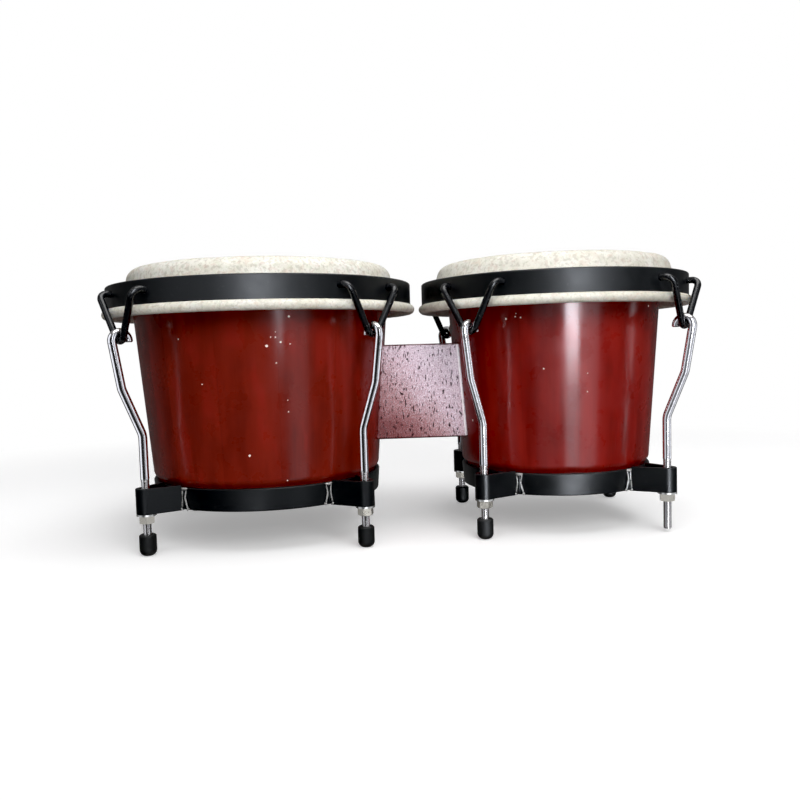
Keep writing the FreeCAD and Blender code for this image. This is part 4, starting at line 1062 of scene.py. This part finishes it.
GROUPS = {"large": [], "small": [], "block": []}
METAL = []
for o in list(bpy.data.objects):
    if o.type != "MESH" or o.name == "floor":
        continue
    GROUPS[side_of(o)].append(o)
    names = [m.name for m in o.data.materials if m]
    if any(n in ("plated_rod", "nickel_plate", "zinc_plate") for n in names):
        METAL.append(o)

def pieces(*starts):
    return [o for g in GROUPS.values() for o in g if o.name.startswith(starts)]


def polar(x0, azimuth, distance):
    a = math.radians(azimuth)
    return (x0 + distance * math.sin(a), -distance * math.cos(a))


xa, xb = AXIS["large"] * MM, AXIS["small"] * MM
low_small = pieces("bottom_ring_small", "bracket_small", "weld_beads_small", "weld_fill_small")
high_large = pieces("rim_large", "claw_large")
high_small = pieces("rim_small", "claw_small")
rest_small = [o for o in GROUPS["small"] if o not in low_small]
rest_large = [o for o in GROUPS["large"] if o not in high_large]
# tall bright window in front and a little to the right, as each drum sees it
lit_only(panel("window_small", polar(xb, 7.5, 1.08), 0.25, -0.03, 1.0, 19.5, (xb, 0.0)), "window_on_small", [o for o in rest_small if o not in high_small])
lit_only(panel("window_small_low", polar(xb, 8.0, 1.08), 0.30, -0.7, -0.03, 2.1, (xb, 0.0)), "window_low_on_small", rest_small)
lit_only(panel("window_ring_small", polar(xb, 8.0, 1.08), 0.20, -0.40, 0.6, 25.0, (xb, 0.0)), "window_on_ring", low_small)
lit_only(panel("window_large", polar(xa, 20.0, 1.10), 0.12, 0.0, 1.0, 4.6, (xa, 0.0)), "window_on_large", rest_large)
lit_only(panel("window_rim_large", polar(xa, 5.0, 1.10), 0.46, 0.0, 1.0, 6.6, (xa, 0.0)), "window_on_rim", high_large)
lit_only(panel("window_rim_small", polar(xb, 7.5, 1.08), 0.21, -0.03, 1.0, 14.0, (xb, 0.0)), "window_on_rim_small", high_small)
# pale wall beside it
lit_only(panel("wall_small", polar(xb, 27.0, 1.08), 0.34, -1.1, 1.0, 1.05, (xb, 0.0)), "wall_on_small", GROUPS["small"])
lit_only(panel("wall_small_left", polar(xb, -20.0, 1.08), 0.44, -1.1, 1.0, 0.28, (xb, 0.0)), "wall_left_on_small", rest_small)
lit_only(panel("wall_large", polar(xa, 36.0, 1.10), 0.34, -1.1, 1.0, 0.56, (xa, 0.0)), "wall_on_large", GROUPS["large"])
lit_only(panel("wall_large_left", polar(xa, -45.0, 1.10), 0.80, 0.0, 1.0, 0.5, (xa, 0.0)), "wall_left_on_rim", high_large)
lit_only(panel("strip_left", polar(xb, -58.0, 1.0), 0.05, -0.6, 0.8, 0.35, (xb, 0.0)), "strip_left_on_small", rest_small)
lit_only(panel("strip_right", polar(xb, 78.0, 1.05), 0.05, -0.22, 0.3, 3.6, (xb, 0.0)), "strip_right_on_small", rest_small)
lit_only(panel("low_large", polar(xa, -6.0, 1.10), 0.34, -0.7, 0.0, 1.5, (xa, 0.0)), "low_on_ring", pieces("bottom_ring_large", "bracket_large", "tip_large"))
lit_only(panel("block_sheen", (0.12, -1.1), 0.9, -0.9, 0.8, 6.6, (0.0, 0.0)), "sheen_on_block", GROUPS["block"])
rods = [o for o in METAL if o.name.startswith("rod_")]
fasteners = [o for o in METAL if o not in rods]
for n, (place, width, radiance) in enumerate((((-1.0, -0.45), 0.9, 1.3), ((1.05, -0.35), 0.9, 1.3), ((0.0, 1.2), 1.2, 0.4))):
    for side, share in (("large", 1.0), ("small", 0.68)):
        lit_only(panel("metal_side_%s_%d" % (side, n), place, width, -1.0, 1.2, radiance * share, (0.0, 0.0)), "plated_%s_%d" % (side, n), [o for o in rods if side_of(o) == side])
    lit_only(panel("fastener_side_%d" % n, place, width, -1.0, 1.2, radiance * 0.6, (0.0, 0.0)), "fasteners_%d" % n, fasteners)
lit_only(panel("fastener_front", (0.12, -1.1), 0.55, -0.8, 0.6, 2.9, (0.0, 0.0)), "fasteners_front", fasteners)
skins = [o for o in bpy.data.objects if o.type == "MESH" and o.name.startswith("skin_")]
for name, azimuth, elevation, width, radiance, which in (("front_large", 2, 8, 0.9, 2.7, "large"), ("front_small", 2, 8, 0.9, 0.9, "small"), ("left_small", -48, 2, 0.6, 7.0, "small")):
    face = lit_only(softbox("skin_" + name, azimuth, elevation, 1.2, width, 0.6, radiance), "skin_" + name, [o for o in skins if side_of(o) == which])
    face.visible_glossy = False
soft = softbox("key_soft", 16, 27, 1.25, 0.6, 0.6, 6.6, aim=(0.05, 0.0, 0.11))
soft.visible_glossy = False
fill = softbox("fill_left", -58, 26, 2.2, 0.8, 1.2, 0.22)
fill.visible_glossy = False
softbox("top", 30, 76, 1.7, 1.6, 1.2, 3.4)


def world():
    w = bpy.data.worlds.new("studio")
    SCENE.world = w
    w.use_nodes = True
    t = w.node_tree
    t.nodes.clear()

    class WG(Graph):
        def __init__(self):
            self.t = t
            self.out = t.nodes.new("ShaderNodeOutputWorld")
            self.obj = t.nodes.new("ShaderNodeTexCoord").outputs["Generated"]

    g = WG()
    lp = t.nodes.new("ShaderNodeLightPath")
    x, y, z = g.sep(g.obj)
    back = g.step(y, 0.0, 0.9)
    up = g.step(z, 0.25, 0.95)
    env = g.math("ADD", g.math("MULTIPLY", back, 0.12), g.math("MULTIPLY", up, 0.30))
    env = g.math("ADD", env, 0.03)
    level = g.mix(lp.outputs["Is Glossy Ray"], (0.21, 0.21, 0.215, 1), env)
    level = g.mix(lp.outputs["Is Camera Ray"], level, (1, 1, 1, 1))
    b = t.nodes.new("ShaderNodeBackground")
    t.links.new(level, b.inputs["Color"])
    t.links.new(b.outputs[0], g.out.inputs["Surface"])


world()
BLACK, WHITE = 0.0055, 1.0
SCENE.view_settings.view_transform = "Standard"
SCENE.view_settings.look = "None"
SCENE.view_settings.use_curve_mapping = True
SCENE.view_settings.curve_mapping.black_level = (BLACK, BLACK, BLACK)
SCENE.view_settings.curve_mapping.white_level = (WHITE, WHITE, WHITE)
SCENE.view_settings.curve_mapping.update()

cam_data = bpy.data.cameras.new("camera")
cam_data.sensor_width = 36.0
cam_data.lens = 34.416
cam_data.clip_start, cam_data.clip_end = 0.01, 50.0
cam = bpy.data.objects.new("camera", cam_data)
fwd = Vector((0.041875, 0.997079, -0.063875)).normalized()
up = Vector((0.031930, 0.062563, 0.997530))
right = fwd.cross(up).normalized()
up = right.cross(fwd).normalized()
cam.matrix_world = Matrix(((right.x, up.x, -fwd.x, -0.02765), (right.y, up.y, -fwd.y, -0.60979), (right.z, up.z, -fwd.z, 0.13726), (0, 0, 0, 1)))
SCENE.collection.objects.link(cam)
SCENE.camera = cam
